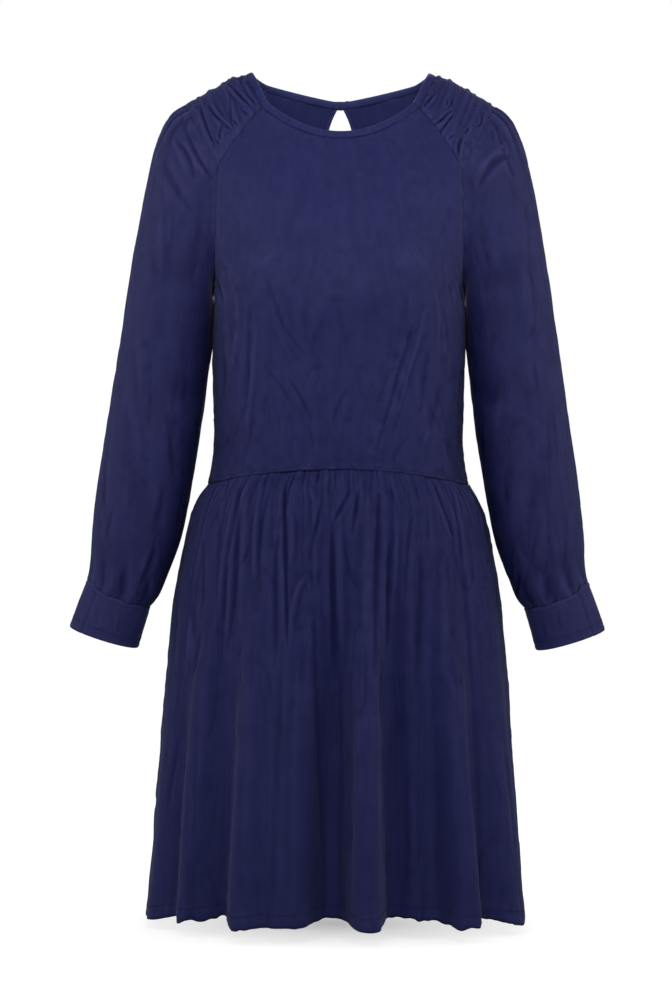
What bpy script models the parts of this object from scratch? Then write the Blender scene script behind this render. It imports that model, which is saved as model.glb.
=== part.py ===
"""A long-sleeved jersey dress with gathered shoulder yokes and a gathered skirt, filled out as when it is worn.

Metres, +Z up. The wearer faces -Y, so the wearer's left is at +X. The origin is midway between the two high
shoulder points, at their height. Each piece that a maker would cut is one thin-walled solid, and neighbouring
pieces stand a seam gap apart.
"""
import math
from bisect import bisect_right
from collections import namedtuple

import bmesh
import bpy
from mathutils import Vector

# Cloth
CLOTH = 0.0012
CUFF_CLOTH = 0.0018
BINDING_CLOTH = 0.0022
SEAM_GAP = 0.0004

# Figure: the places where the pieces meet
SIDE_Y = 0.002
WAIST_SIDE_Z = -0.453
WAIST_FRONT_RISE = 0.0155
WAIST_BACK_RISE = 0.004
HEM_SIDE_Z = -0.9280
HEM_FRONT_RISE = 0.0130
HEM_BACK_RISE = 0.0100
HEM_SQUARENESS = 8.0
HEM_FOLD_DROP = 0.14

# Bindings, keyhole and closure
BINDING_WIDTH = 0.0060
BINDING_SUNK = 0.6
NECK_SLIT = 0.0050
KEYHOLE_TOP_Z = -0.0290
KEYHOLE_BOTTOM_Z = -0.1005
KEYHOLE_SWELL = 0.0150
KEYHOLE_BINDING = 0.0048
KEYHOLE_CUT_ABOVE = 0.0200
KEYHOLE_CUT_START_Y = 0.0300
KEYHOLE_CUT_DEPTH = 0.1200
BUTTON_RADIUS = 0.0045
BUTTON_HEAD = 0.0024
BUTTON_X = 0.0078
SHANK_RADIUS = 0.0014
SHANK_LENGTH = 0.0028
LOOP_CORD = 0.0014
LOOP_END_X = -0.0075

# Shares of a panel that are left free at its seams
PANEL_GAP_SHARE = 0.0006
YOKE_END_GAP_SHARE = 0.0040
YOKE_SEAM_GAP_SHARE = 0.0022
SLEEVE_GAP_SHARE = 0.0005
KEYHOLE_GAP_SHARE = 0.0120

# Mesh counts
BODICE_COLUMNS, BODICE_ROWS = 22, 15
YOKE_COLUMNS, YOKE_ROWS = 32, 10
SLEEVE_COLUMNS, SLEEVE_ROWS = 32, 14
CUFF_COLUMNS, CUFF_ROWS = 28, 3
ARMHOLE_CORNER_COLUMN = 9
SKIRT_COLUMNS, SKIRT_ROWS = 66, 10
BINDING_COLUMNS = 26
KEYHOLE_COLUMNS = 26
KEYHOLE_CUT_STEPS = 41
LOOP_STEPS = 8
BUTTON_STEPS = 16

# Tables. The first column, at, is the place along the line, from 0 to 1, and the rows are joined smoothly.
SidePoint = namedtuple("SidePoint", "at x y z")
CentrePoint = namedtuple("CentrePoint", "at y z turn power dip")
SkirtRing = namedtuple("SkirtRing", "at half_width front_depth back_depth")
SleeveRing = namedtuple("SleeveRing", "at outer_x outer_z inner_x inner_z middle_y half_depth")
Fold = namedtuple("Fold", "centre width height edge start")
Crease = namedtuple("Crease", "a b end_a end_b width height")

SIDE_SEAM = (
    SidePoint(0.00, 0.1430, SIDE_Y, WAIST_SIDE_Z),
    SidePoint(0.18, 0.1372, SIDE_Y, -0.415),
    SidePoint(0.45, 0.1378, SIDE_Y, -0.356),
    SidePoint(0.72, 0.1386, SIDE_Y, -0.300),
    SidePoint(0.88, 0.1380, SIDE_Y, -0.265),
    SidePoint(1.00, 0.1370, SIDE_Y, -0.240),
)
FRONT_ARMHOLE = (
    SidePoint(0.00, 0.1370, SIDE_Y, -0.240),
    SidePoint(0.22, 0.1352, -0.034, -0.231),
    SidePoint(0.45, 0.1338, -0.059, -0.203),
    SidePoint(0.72, 0.1328, -0.074, -0.160),
    SidePoint(1.00, 0.1320, -0.080, -0.115),
)
BACK_ARMHOLE = (
    SidePoint(0.00, 0.1370, SIDE_Y, -0.240),
    SidePoint(0.22, 0.1355, 0.042, -0.232),
    SidePoint(0.45, 0.1345, 0.070, -0.204),
    SidePoint(0.72, 0.1342, 0.085, -0.162),
    SidePoint(1.00, 0.1340, 0.089, -0.118),
)
FRONT_RAGLAN = (
    SidePoint(0.00, 0.1320, -0.080, -0.115),
    SidePoint(0.33, 0.1211, -0.0752, -0.0948),
    SidePoint(0.66, 0.1048, -0.0655, -0.0700),
    SidePoint(1.00, 0.0842, -0.0535, -0.0441),
)
BACK_RAGLAN = (
    SidePoint(0.00, 0.1340, 0.089, -0.118),
    SidePoint(0.33, 0.1230, 0.083, -0.083),
    SidePoint(0.66, 0.1060, 0.067, -0.045),
    SidePoint(1.00, 0.0875, 0.047, -0.0105),
)
SHOULDER_RIDGE = (
    SidePoint(0.00, 0.1030, 0.003, -0.0030),
    SidePoint(0.28, 0.1220, 0.003, -0.0090),
    SidePoint(0.50, 0.1365, 0.003, -0.0180),
    SidePoint(0.75, 0.1540, 0.003, -0.0275),
    SidePoint(1.00, 0.1710, 0.002, -0.0365),
)
# turn: how far the section turns from the centre to its side, in degrees. power: the section's squareness.
# dip: how the row bends from its centre height to its side height.
CENTRE_FRONT = (
    CentrePoint(0.00, -0.1000, -0.4375, 90.0, 2.15, 2.0),
    CentrePoint(0.16, -0.1030, -0.380, 90.0, 2.15, 2.0),
    CentrePoint(0.32, -0.1170, -0.321, 90.0, 2.25, 2.0),
    CentrePoint(0.48, -0.1300, -0.263, 90.0, 2.35, 2.0),
    CentrePoint(0.60, -0.1265, -0.220, 72.0, 2.35, 2.0),
    CentrePoint(0.72, -0.1130, -0.176, 64.0, 2.30, 2.0),
    CentrePoint(0.82, -0.0985, -0.140, 58.0, 2.25, 2.1),
    CentrePoint(0.92, -0.0830, -0.105, 55.0, 2.20, 2.2),
    CentrePoint(1.00, -0.0715, -0.0800, 52.0, 2.10, 2.05),
)
CENTRE_BACK = (
    CentrePoint(0.00, 0.0960, -0.4490, 90.0, 2.15, 2.0),
    CentrePoint(0.16, 0.0910, -0.382, 90.0, 2.15, 2.0),
    CentrePoint(0.32, 0.0950, -0.315, 90.0, 2.25, 2.0),
    CentrePoint(0.48, 0.1035, -0.247, 90.0, 2.40, 2.0),
    CentrePoint(0.60, 0.1090, -0.197, 74.0, 2.40, 2.0),
    CentrePoint(0.72, 0.1100, -0.146, 66.0, 2.35, 2.0),
    CentrePoint(0.82, 0.1045, -0.104, 60.0, 2.30, 1.8),
    CentrePoint(0.92, 0.0890, -0.062, 56.0, 2.20, 1.4),
    CentrePoint(1.00, 0.0700, -0.0285, 52.0, 2.10, 1.15),
)
# How far up the bodice its side seam and its armhole end.
SIDE_SEAM_END = 0.48
ARMHOLE_END = 0.80
BUST_X, BUST_Z, BUST_REACH, BUST_RISE = 0.074, -0.252, 0.060, 0.005
# Soft creases, each from one place to another. On the bodice the places are X and Z.
FRONT_CREASES = (
    Crease(0.083, -0.270, 0.041, -0.425, 0.011, -0.0020),
    Crease(0.062, -0.290, 0.028, -0.410, 0.010, 0.0014),
    Crease(-0.066, -0.275, -0.022, -0.330, 0.010, -0.0016),
    Crease(-0.078, -0.330, -0.030, -0.410, 0.012, -0.0020),
    Crease(-0.104, -0.270, -0.112, -0.400, 0.011, -0.0016),
)
BACK_CREASES = (
    Crease(0.070, -0.290, 0.022, -0.415, 0.012, -0.0020),
    Crease(-0.088, -0.265, -0.050, -0.420, 0.011, -0.0018),
    Crease(0.100, -0.330, 0.106, -0.425, 0.011, 0.0015),
    Crease(-0.020, -0.370, -0.085, -0.400, 0.012, 0.0015),
)

SKIRT_RINGS = (
    SkirtRing(0.00, 0.1430, 0.1015, 0.0945),
    SkirtRing(0.025, 0.1520, 0.1075, 0.1065),
    SkirtRing(0.06, 0.1600, 0.1130, 0.1150),
    SkirtRing(0.12, 0.1675, 0.1180, 0.1240),
    SkirtRing(0.25, 0.1785, 0.1240, 0.1360),
    SkirtRing(0.45, 0.1885, 0.1300, 0.1440),
    SkirtRing(0.70, 0.1965, 0.1380, 0.1500),
    SkirtRing(1.00, 0.2080, 0.1480, 0.1580),
)
SKIRT_POWER = 2.15
# Angles run from the centre of the panel to its sides, at -90 and 90 degrees, positive towards +X.
FRONT_FOLDS = (
    Fold(-72.0, 6.0, 0.0050, 2.0, 0.30),
    Fold(-59.0, 4.5, -0.0100, 2.0, 0.25),
    Fold(-48.0, 5.0, 0.0120, 3.0, 0.16),
    Fold(-35.5, 4.5, -0.0140, 2.0, 0.30),
    Fold(-26.0, 5.0, 0.0260, 2.5, 0.12),
    Fold(-13.5, 8.0, 0.0150, 2.5, 0.16),
    Fold(-1.0, 4.8, -0.0300, 3.0, 0.12),
    Fold(7.8, 5.2, 0.0240, 4.0, 0.10),
    Fold(17.0, 4.8, -0.0260, 2.5, 0.04),
    Fold(27.0, 6.0, -0.0130, 2.0, 0.20),
    Fold(38.0, 5.6, 0.0260, 4.0, 0.22),
    Fold(48.0, 4.0, -0.0080, 2.0, 0.25),
    Fold(62.0, 9.0, 0.0170, 3.0, 0.30),
    Fold(78.0, 4.0, -0.0040, 2.0, 0.30),
)
BACK_FOLDS = (
    Fold(-68.0, 7.0, 0.0070, 2.0, 0.30),
    Fold(-54.0, 5.0, -0.0100, 2.0, 0.22),
    Fold(-42.0, 6.0, 0.0170, 3.0, 0.20),
    Fold(-28.0, 5.0, -0.0180, 2.0, 0.15),
    Fold(-15.0, 6.5, 0.0200, 3.0, 0.12),
    Fold(-3.0, 4.5, -0.0240, 2.0, 0.10),
    Fold(9.0, 6.0, 0.0200, 3.0, 0.15),
    Fold(21.0, 5.0, -0.0210, 2.0, 0.10),
    Fold(33.0, 5.5, 0.0170, 3.0, 0.18),
    Fold(46.0, 6.0, -0.0120, 2.0, 0.24),
    Fold(59.0, 6.0, 0.0110, 2.0, 0.26),
    Fold(73.0, 5.0, -0.0060, 2.0, 0.30),
)
WAIST_GATHER = 0.0017
WAIST_GATHER_REACH = 0.16
YOKE_GATHERS = 8
YOKE_GATHER = 0.0021
SLEEVE_HEAD_GATHER = 0.0016

SLEEVE_RINGS = (
    SleeveRing(0.00, 0.1720, -0.0372, 0.1375, -0.2397, 0.002, 0.0820),
    SleeveRing(0.05, 0.1880, -0.0505, 0.1398, -0.2480, 0.002, 0.0775),
    SleeveRing(0.12, 0.2020, -0.0800, 0.1408, -0.2590, 0.001, 0.0715),
    SleeveRing(0.20, 0.2115, -0.1200, 0.1412, -0.2740, 0.000, 0.0660),
    SleeveRing(0.30, 0.2217, -0.1740, 0.1412, -0.2980, -0.001, 0.0600),
    SleeveRing(0.40, 0.2313, -0.2330, 0.1424, -0.3280, -0.002, 0.0560),
    SleeveRing(0.50, 0.2400, -0.2930, 0.1468, -0.3650, -0.003, 0.0535),
    SleeveRing(0.60, 0.2486, -0.3500, 0.1518, -0.4030, -0.004, 0.0515),
    SleeveRing(0.70, 0.2568, -0.4060, 0.1577, -0.4400, -0.006, 0.0500),
    SleeveRing(0.80, 0.2646, -0.4610, 0.1648, -0.4800, -0.008, 0.0480),
    SleeveRing(0.88, 0.2688, -0.5020, 0.1730, -0.5170, -0.010, 0.0450),
    SleeveRing(0.94, 0.2703, -0.5330, 0.1855, -0.5530, -0.012, 0.0400),
    SleeveRing(0.98, 0.2715, -0.5500, 0.1965, -0.5785, -0.014, 0.0340),
    SleeveRing(1.00, 0.2733, -0.5570, 0.2040, -0.5855, -0.014, 0.0295),
)
SLEEVE_POWER = 2.15
ARMHOLE_FADE = 0.30
SLEEVE_HEAD_SPREAD = 0.085
SLEEVE_HEAD_REACH = 0.22
# On the sleeve the places are shares: round it from its outer line, and down it.
SLEEVE_CREASES = (
    Crease(0.33, 0.20, 0.17, 0.34, 0.035, -0.0024),
    Crease(0.42, 0.46, 0.24, 0.56, 0.040, -0.0026),
    Crease(0.40, 0.58, 0.20, 0.52, 0.035, 0.0020),
    Crease(0.14, 0.64, 0.30, 0.86, 0.035, -0.0022),
    Crease(0.60, 0.42, 0.80, 0.55, 0.040, -0.0024),
    Crease(0.88, 0.60, 0.70, 0.82, 0.040, -0.0020),
    Crease(0.70, 0.18, 0.86, 0.32, 0.035, -0.0020),
)

# Cuff: its top ring is the sleeve's last one. Rings run from their outermost to their innermost point.
CUFF_RINGS = (
    SleeveRing(0.00, 0.2733, -0.5570, 0.2040, -0.5855, -0.014, 0.0295),
    SleeveRing(0.50, 0.2830, -0.5830, 0.2105, -0.6085, -0.015, 0.0298),
    SleeveRing(1.00, 0.2925, -0.6085, 0.2170, -0.6320, -0.016, 0.0300),
)
CUFF_AXIS = Vector((0.38, 0.0, -0.925))
CUFF_FRONT_DROP = 0.0055
CUFF_STEP = 0.0060
CUFF_STEP_TURN = 0.145
CUFF_LAP = 0.0008

NAVY = (0.020, 0.022, 0.085, 1.0)
NAVY_DARK = (0.016, 0.018, 0.070, 1.0)


def read(rows, at):
    """The columns after the first, on a smooth line through the rows, at a place in the first column."""
    places = [row[0] for row in rows]
    last = len(rows) - 2
    low = min(max(bisect_right(places, at) - 1, 0), last)
    span = places[low + 1] - places[low]
    part = (at - places[low]) / span
    values = []
    for column in range(1, len(rows[0])):
        heights = [row[column] for row in rows]

        def slope(index):
            before, after = max(index - 1, 0), min(index + 1, len(rows) - 1)
            return (heights[after] - heights[before]) / (places[after] - places[before])

        start = heights[low] + (heights[low + 1] - heights[low]) * (3 * part**2 - 2 * part**3)
        bend = slope(low) * (part**3 - 2 * part**2 + part) + slope(low + 1) * (part**3 - part**2)
        values.append(start + bend * span)
    return values


def ramp(value, start, end):
    """0 up to start and 1 from end on, with a soft change between."""
    part = min(max((value - start) / (end - start), 0.0), 1.0)
    return part * part * (3.0 - 2.0 * part)


def bump(distance, width, edge=2.0):
    """1 at no distance, fading to nothing past the width; a greater edge gives a flatter top."""
    return math.exp(-(abs(distance / width) ** edge))


def crease_rise(rows, a, b):
    """How far the creases lift or sink a place: each fades to nothing at its ends and away from its line."""
    rise = 0.0
    for row in rows:
        run = Vector((row.end_a - row.a, row.end_b - row.b))
        place = Vector((a - row.a, b - row.b))
        along = min(max(place.dot(run) / run.length_squared, 0.0), 1.0)
        aside = (place - run * along).length
        rise += row.height * bump(aside, row.width) * math.sin(math.pi * (0.12 + 0.76 * along))
    return rise


def side_line(share, armhole, raglan):
    """A bodice panel's side edge from the waist to the neck: side seam, armhole, raglan seam."""
    if share <= SIDE_SEAM_END:
        return read(SIDE_SEAM, share / SIDE_SEAM_END)
    if share <= ARMHOLE_END:
        return read(armhole, (share - SIDE_SEAM_END) / (ARMHOLE_END - SIDE_SEAM_END))
    return read(raglan, (share - ARMHOLE_END) / (1.0 - ARMHOLE_END))


def bodice_point(across, up, centre, armhole, raglan):
    """A point of a bodice panel: across runs from -1 to 1, and up from the waist seam at 0 to the neck at 1."""
    side_x, side_y, side_z = side_line(up, armhole, raglan)
    centre_y, centre_z, turn, power, dip = read(centre, up)
    turn = math.radians(min(turn, 90.0))
    angle = abs(across) * turn
    reach = math.sin(turn) ** (2.0 / power)
    left = max(math.cos(turn), 0.0) ** (2.0 / power)
    out = math.sin(angle) ** (2.0 / power) / reach
    forward = (max(math.cos(angle), 0.0) ** (2.0 / power) - left) / (1.0 - left)
    x = side_x * out
    y = side_y + (centre_y - side_y) * forward
    z = centre_z + (side_z - centre_z) * out**dip
    return Vector((math.copysign(x, across), y, z))


def front_bodice_point(across, up):
    point = bodice_point(across, up, CENTRE_FRONT, FRONT_ARMHOLE, FRONT_RAGLAN)
    point.y -= BUST_RISE * bump(math.hypot(abs(point.x) - BUST_X, point.z - BUST_Z), BUST_REACH)
    point.y -= crease_rise(FRONT_CREASES, point.x, point.z)
    return point


def back_bodice_point(across, up):
    point = bodice_point(-across, up, CENTRE_BACK, BACK_ARMHOLE, BACK_RAGLAN)
    point.y += crease_rise(BACK_CREASES, point.x, point.z)
    return point


# How far the yoke's section turns from its ridge to either seam, in degrees.
YOKE_TURN = 66.0


def yoke_base(out, over):
    """The left yoke without its gathers: out from the neck at 0 to the armhole at 1, over from -1 at the front
    raglan seam to 1 at the back one."""
    ridge = Vector(read(SHOULDER_RIDGE, out))
    seam = Vector(read(FRONT_RAGLAN if over < 0.0 else BACK_RAGLAN, 1.0 - out))
    turn = math.radians(YOKE_TURN)
    angle = abs(over) * turn
    level = math.sin(angle) / math.sin(turn)
    fall = (1.0 - math.cos(angle)) / (1.0 - math.cos(turn))
    return Vector(
        (
            ridge.x + (seam.x - ridge.x) * fall,
            ridge.y + (seam.y - ridge.y) * level,
            ridge.z + (seam.z - ridge.z) * fall,
        )
    )


def normal_of(surface, a, b, step=0.01):
    """The unit normal of surface(a, b), by its rise in each direction."""
    along = surface(a + step, b) - surface(a - step, b)
    up = surface(a, b + step) - surface(a, b - step)
    return along.cross(up).normalized()


def yoke_point(out, over):
    """A point of the left yoke: uneven gathers run over the shoulder, caught in the seams at both ends."""
    wander = 0.020 * math.sin(3.0 * over + 7.0 * out)
    phase = out + wander * math.sin(math.pi * out)
    size = YOKE_GATHER * (0.72 + 0.28 * math.sin(11.0 * phase + 1.3))
    held = 0.45 + 0.55 * (1.0 - ramp(abs(over), 0.70, 1.0))
    edge = ramp(out, 0.0, 0.07) * ramp(1.0 - out, 0.0, 0.07)
    rise = size * held * edge * (0.5 - 0.5 * math.cos(2.0 * math.pi * YOKE_GATHERS * phase))
    inner = min(max(out, 0.02), 0.98)
    return yoke_base(out, over) + normal_of(yoke_base, inner, min(max(over, -0.97), 0.97)) * rise


def spread(share):
    """Columns round a sleeve, twice as close at the shoulder tip as on average."""
    return share - 0.5 / (2.0 * math.pi) * math.sin(2.0 * math.pi * share)


def armhole_point(round_share):
    """The left armhole loop: 0 at the shoulder tip, 0.5 at the underarm, by way of the front."""
    front = round_share <= 0.5
    half = 2.0 * (round_share if front else 1.0 - round_share)
    yoke_part = 2.0 * spread(ARMHOLE_CORNER_COLUMN / SLEEVE_COLUMNS)
    if half <= yoke_part:
        over = half / yoke_part
        return yoke_base(1.0, -over if front else over)
    down = 1.0 - (half - yoke_part) / (1.0 - yoke_part)
    return Vector(read(FRONT_ARMHOLE if front else BACK_ARMHOLE, down))


def ring_point(rings, round_share, down, power):
    """A point on a slanted oval ring: 0 is its outermost point, 0.25 its front, 0.5 its innermost point."""
    outer_x, outer_z, inner_x, inner_z, middle_y, half_depth = read(rings, down)
    angle = 2.0 * math.pi * round_share
    cos, sin = math.cos(angle), math.sin(angle)
    reach = math.copysign(abs(cos) ** (2.0 / power), cos)
    depth = math.copysign(abs(sin) ** (2.0 / power), sin)
    return Vector(
        (
            (outer_x + inner_x) / 2 + (outer_x - inner_x) / 2 * reach,
            middle_y - half_depth * depth,
            (outer_z + inner_z) / 2 + (outer_z - inner_z) / 2 * reach,
        )
    )


def cuff_seam_drop(round_share):
    """How far the cuff's seam lies below its ring: lower across the front, with a step at the lapped end."""
    share = round_share % 1.0
    if share > 0.5:
        return 0.4 * CUFF_FRONT_DROP * math.sin(2.0 * math.pi * (share - 0.5)) ** 2
    past_step = ramp(share, CUFF_STEP_TURN - 0.02, CUFF_STEP_TURN + 0.01)
    return CUFF_STEP * past_step * (1.0 - ramp(share, 0.26, 0.5))


def sleeve_base(round_share, down):
    """A point of the left sleeve without its gathers, from the armhole to the cuff seam."""
    ring = ring_point(SLEEVE_RINGS, round_share, down, SLEEVE_POWER)
    drop = ramp(down, 0.90, 1.0) * cuff_seam_drop(round_share)
    ring.z -= drop
    loop = armhole_point(round_share % 1.0)
    first = ring_point(SLEEVE_RINGS, round_share, 0.0, SLEEVE_POWER)
    kept = 1.0 - ramp(down, 0.0, ARMHOLE_FADE)
    return ring + (loop - first) * kept


def sleeve_point(share, down):
    """A point of the left sleeve: small gathers fan from the shoulder tip, soft folds cross the arm."""
    round_share = spread(share)
    column = round(share * SLEEVE_COLUMNS)
    near_tip = bump(min(round_share, 1.0 - round_share), SLEEVE_HEAD_SPREAD)
    rise = SLEEVE_HEAD_GATHER * near_tip * (1.0 if column % 2 else -0.6)
    rise *= (1.0 - ramp(down, 0.02, SLEEVE_HEAD_REACH)) * ramp(down, -0.02, 0.03)
    rise += crease_rise(SLEEVE_CREASES, round_share, down)
    point = sleeve_base(round_share, down)
    around = Vector((1.0, 0.0, -0.15)) * math.cos(2 * math.pi * round_share)
    around -= Vector((0.0, 1.0, 0.0)) * math.sin(2 * math.pi * round_share)
    return point + around.normalized() * rise + Vector((SEAM_GAP * (1.0 - down), 0.0, 0.0))


def cuff_point(share, down):
    """A point of the left cuff: a short tube that widens to its edge, with a lapped end on its outer side."""
    point = ring_point(CUFF_RINGS, share, down, SLEEVE_POWER)
    front = max(0.0, math.sin(2 * math.pi * share))
    point.z -= (1.0 - down) * cuff_seam_drop(share) + 0.6 * CUFF_FRONT_DROP * down * front
    lapped = 1.0 - ramp(share, CUFF_STEP_TURN - 0.015, CUFF_STEP_TURN + 0.015)
    outward = Vector((math.cos(2 * math.pi * share), -math.sin(2 * math.pi * share), 0.0))
    apart = CUFF_AXIS * SEAM_GAP * (1.0 - down)
    return point + outward * CUFF_LAP * lapped * ramp(share, 0.0, 0.03) + apart


def skirt_angle(across):
    """Degrees from the panel's centre, with the columns closer together at the centre."""
    share = abs(across)
    return math.copysign(90.0 * (0.68 * share + 0.32 * share**2), across)


def skirt_point(across, down, side, folds, waist_rise, hem_rise):
    """A point of a skirt panel: across from -1 to 1, down from the waist seam at 0 to the hem at 1."""
    half_width, front_depth, back_depth = read(SKIRT_RINGS, down)
    depth = front_depth if side < 0.0 else back_depth
    degrees = skirt_angle(across)
    angle = math.radians(degrees)
    sin, cos = math.sin(angle), max(math.cos(angle), 0.0)
    x = half_width * math.copysign(abs(sin) ** (2.0 / SKIRT_POWER), sin)
    y = depth * cos ** (2.0 / SKIRT_POWER)
    fold = 0.0
    for row in folds:
        grown = ramp(down, 0.5 * row.start, row.start + 0.75)
        fold += row.height * grown * bump(degrees - row.centre, row.width, row.edge)
    fade = ramp(90.0 - abs(degrees), 0.0, 14.0)
    column = round((across + 1.0) / 2.0 * SKIRT_COLUMNS)
    gather = WAIST_GATHER * (0.72 + 0.28 * math.sin(2.4 * column)) * (1.0 if column % 2 else -1.0)
    gather *= 1.0 - ramp(down, 0.02, WAIST_GATHER_REACH)
    rise = fold * fade + gather * ramp(90.0 - abs(degrees), 0.0, 4.0)
    outward = Vector((sin * depth, cos * half_width, 0.0)).normalized()
    top = WAIST_SIDE_Z + waist_rise * (1.0 - (x / half_width) ** 2)
    bottom = HEM_SIDE_Z + hem_rise * (1.0 - abs(sin) ** HEM_SQUARENESS)
    bottom -= HEM_FOLD_DROP * fold * fade
    z = top + (bottom - top) * down
    return Vector((x + outward.x * rise, side * (y + outward.y * rise) + SIDE_Y, z))


def front_skirt_point(across, down):
    return skirt_point(across, down, -1.0, FRONT_FOLDS, WAIST_FRONT_RISE, HEM_FRONT_RISE)


def back_skirt_point(across, down):
    return skirt_point(-across, down, 1.0, BACK_FOLDS, WAIST_BACK_RISE, HEM_BACK_RISE)


# How much of half the neck's edge lies on the front panel and on the yoke, and how long that half is.
NECK_FRONT_SHARE = 0.34
NECK_YOKE_SHARE = 0.33
NECK_HALF_LENGTH = 0.30


def neck_edge(share):
    """The edge that the neck binding follows: 0 at the centre front, 1 or -1 at the centre back."""
    side = 1.0 if share >= 0.0 else -1.0
    part = abs(share)
    if part < NECK_FRONT_SHARE:
        point = front_bodice_point(part / NECK_FRONT_SHARE, 1.0)
    elif part < NECK_FRONT_SHARE + NECK_YOKE_SHARE:
        point = yoke_base(0.0, 2.0 * (part - NECK_FRONT_SHARE) / NECK_YOKE_SHARE - 1.0)
    else:
        point = back_bodice_point(-(1.0 - part) / (1.0 - NECK_FRONT_SHARE - NECK_YOKE_SHARE), 1.0)
    return Vector((abs(point.x) * side, point.y, point.z))


def neck_binding_point(share, width_share):
    """A point of the neck binding: it rises from the neck edge and leans in over the opening."""
    part = (2.0 * share - 1.0) * (1.0 - NECK_SLIT / 2 / NECK_HALF_LENGTH)
    edge = neck_edge(part)
    turn = math.pi * part
    lean = Vector((-0.90 * math.sin(turn), 0.30 * math.cos(turn), 0.0))
    lean.z = math.sqrt(1.0 - lean.length_squared)
    return edge + lean * (SEAM_GAP + BINDING_WIDTH * width_share)


def keyhole_half_width(turn):
    """Half the keyhole's width, from its top at no turn to its foot at half a turn: widest low down."""
    swell = 1.263 * math.sin(turn) * math.sin(turn / 2) ** 0.8
    return NECK_SLIT / 2 * (1.0 + math.cos(turn)) / 2 + KEYHOLE_SWELL * swell


def keyhole_outline(share):
    """The keyhole's edge in X and Z: down one side from 0, the foot at 0.5, and up the other side to 1."""
    side = -1.0 if share < 0.5 else 1.0
    turn = math.pi * (1.0 - abs(2.0 * share - 1.0))
    middle = (KEYHOLE_TOP_Z + KEYHOLE_BOTTOM_Z) / 2
    half_height = (KEYHOLE_TOP_Z - KEYHOLE_BOTTOM_Z) / 2
    return Vector((side * keyhole_half_width(turn), 0.0, middle + half_height * math.cos(turn)))


def keyhole_offset(share, distance):
    """The keyhole's edge moved outward in the panel by a distance, and level at its two top ends."""
    step = 0.004
    ahead = keyhole_outline(min(share + step, 1.0))
    behind = keyhole_outline(max(share - step, 0.0))
    along = (ahead - behind).normalized()
    outward = Vector((along.z, 0.0, -along.x))
    level = Vector((-1.0 if share < 0.5 else 1.0, 0.0, 0.0))
    turned = ramp(min(share, 1.0 - share), 0.03, 0.16)
    return keyhole_outline(share) + level.lerp(outward, turned) * distance


def back_depth_at(z):
    """The back's depth at its centre line, by height."""
    rows = [(row.z, row.y) for row in CENTRE_BACK]
    return read(rows, z)[0]


def keyhole_binding_point(share, width_share):
    place = keyhole_offset(share, KEYHOLE_BINDING * width_share)
    return Vector((place.x, back_depth_at(place.z), place.z))


def cloth_material(name, colour, roughness):
    material = bpy.data.materials.new(name)
    material.use_nodes = True
    shader = material.node_tree.nodes["Principled BSDF"]
    shader.inputs["Base Color"].default_value = colour
    shader.inputs["Roughness"].default_value = roughness
    shader.inputs["Metallic"].default_value = 0.0
    shader.inputs["Sheen Weight"].default_value = 0.3
    material.diffuse_color = colour
    return material


def add_object(name, bm, material, collection):
    mesh = bpy.data.meshes.new(name)
    bm.to_mesh(mesh)
    bm.free()
    mesh.shade_smooth()
    mesh.materials.append(material)
    piece = bpy.data.objects.new(name, mesh)
    collection.objects.link(piece)
    return piece


def cloth_piece(name, counts, point_of, thickness, material, group, closed=False, mirrored=False, sunk=1.0):
    """A cloth wall: a grid laid on point_of(0..1, 0..1), given its thickness to the inside."""
    columns, rows = counts
    bm = bmesh.new()
    bmesh.ops.create_grid(bm, x_segments=columns, y_segments=rows, size=0.5)
    for vertex in bm.verts:
        point = point_of(vertex.co.x + 0.5, vertex.co.y + 0.5)
        vertex.co = Vector((-point.x, point.y, point.z)) if mirrored else point
    if mirrored:
        bmesh.ops.reverse_faces(bm, faces=bm.faces)
    if closed:
        bmesh.ops.remove_doubles(bm, verts=bm.verts, dist=0.00002)
    piece = add_object(name, bm, material, group)
    wall = piece.modifiers.new("cloth", "SOLIDIFY")
    wall.thickness = thickness
    wall.offset = -sunk
    return piece


def shrunk(share, edge_share):
    """A share from 0 to 1, kept a little inside both ends."""
    return edge_share + (1.0 - 2.0 * edge_share) * share


def make_bodice(materials, collection):
    def front(a, b):
        return front_bodice_point(2.0 * shrunk(a, PANEL_GAP_SHARE) - 1.0, b)

    def back(a, b):
        return back_bodice_point(2.0 * shrunk(a, PANEL_GAP_SHARE) - 1.0, b)

    cloth = materials["jersey"]
    cloth_piece("front_bodice", (BODICE_COLUMNS, BODICE_ROWS), front, CLOTH, cloth, collection)
    return cloth_piece("back_bodice", (BODICE_COLUMNS, BODICE_ROWS), back, CLOTH, cloth, collection)


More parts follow.
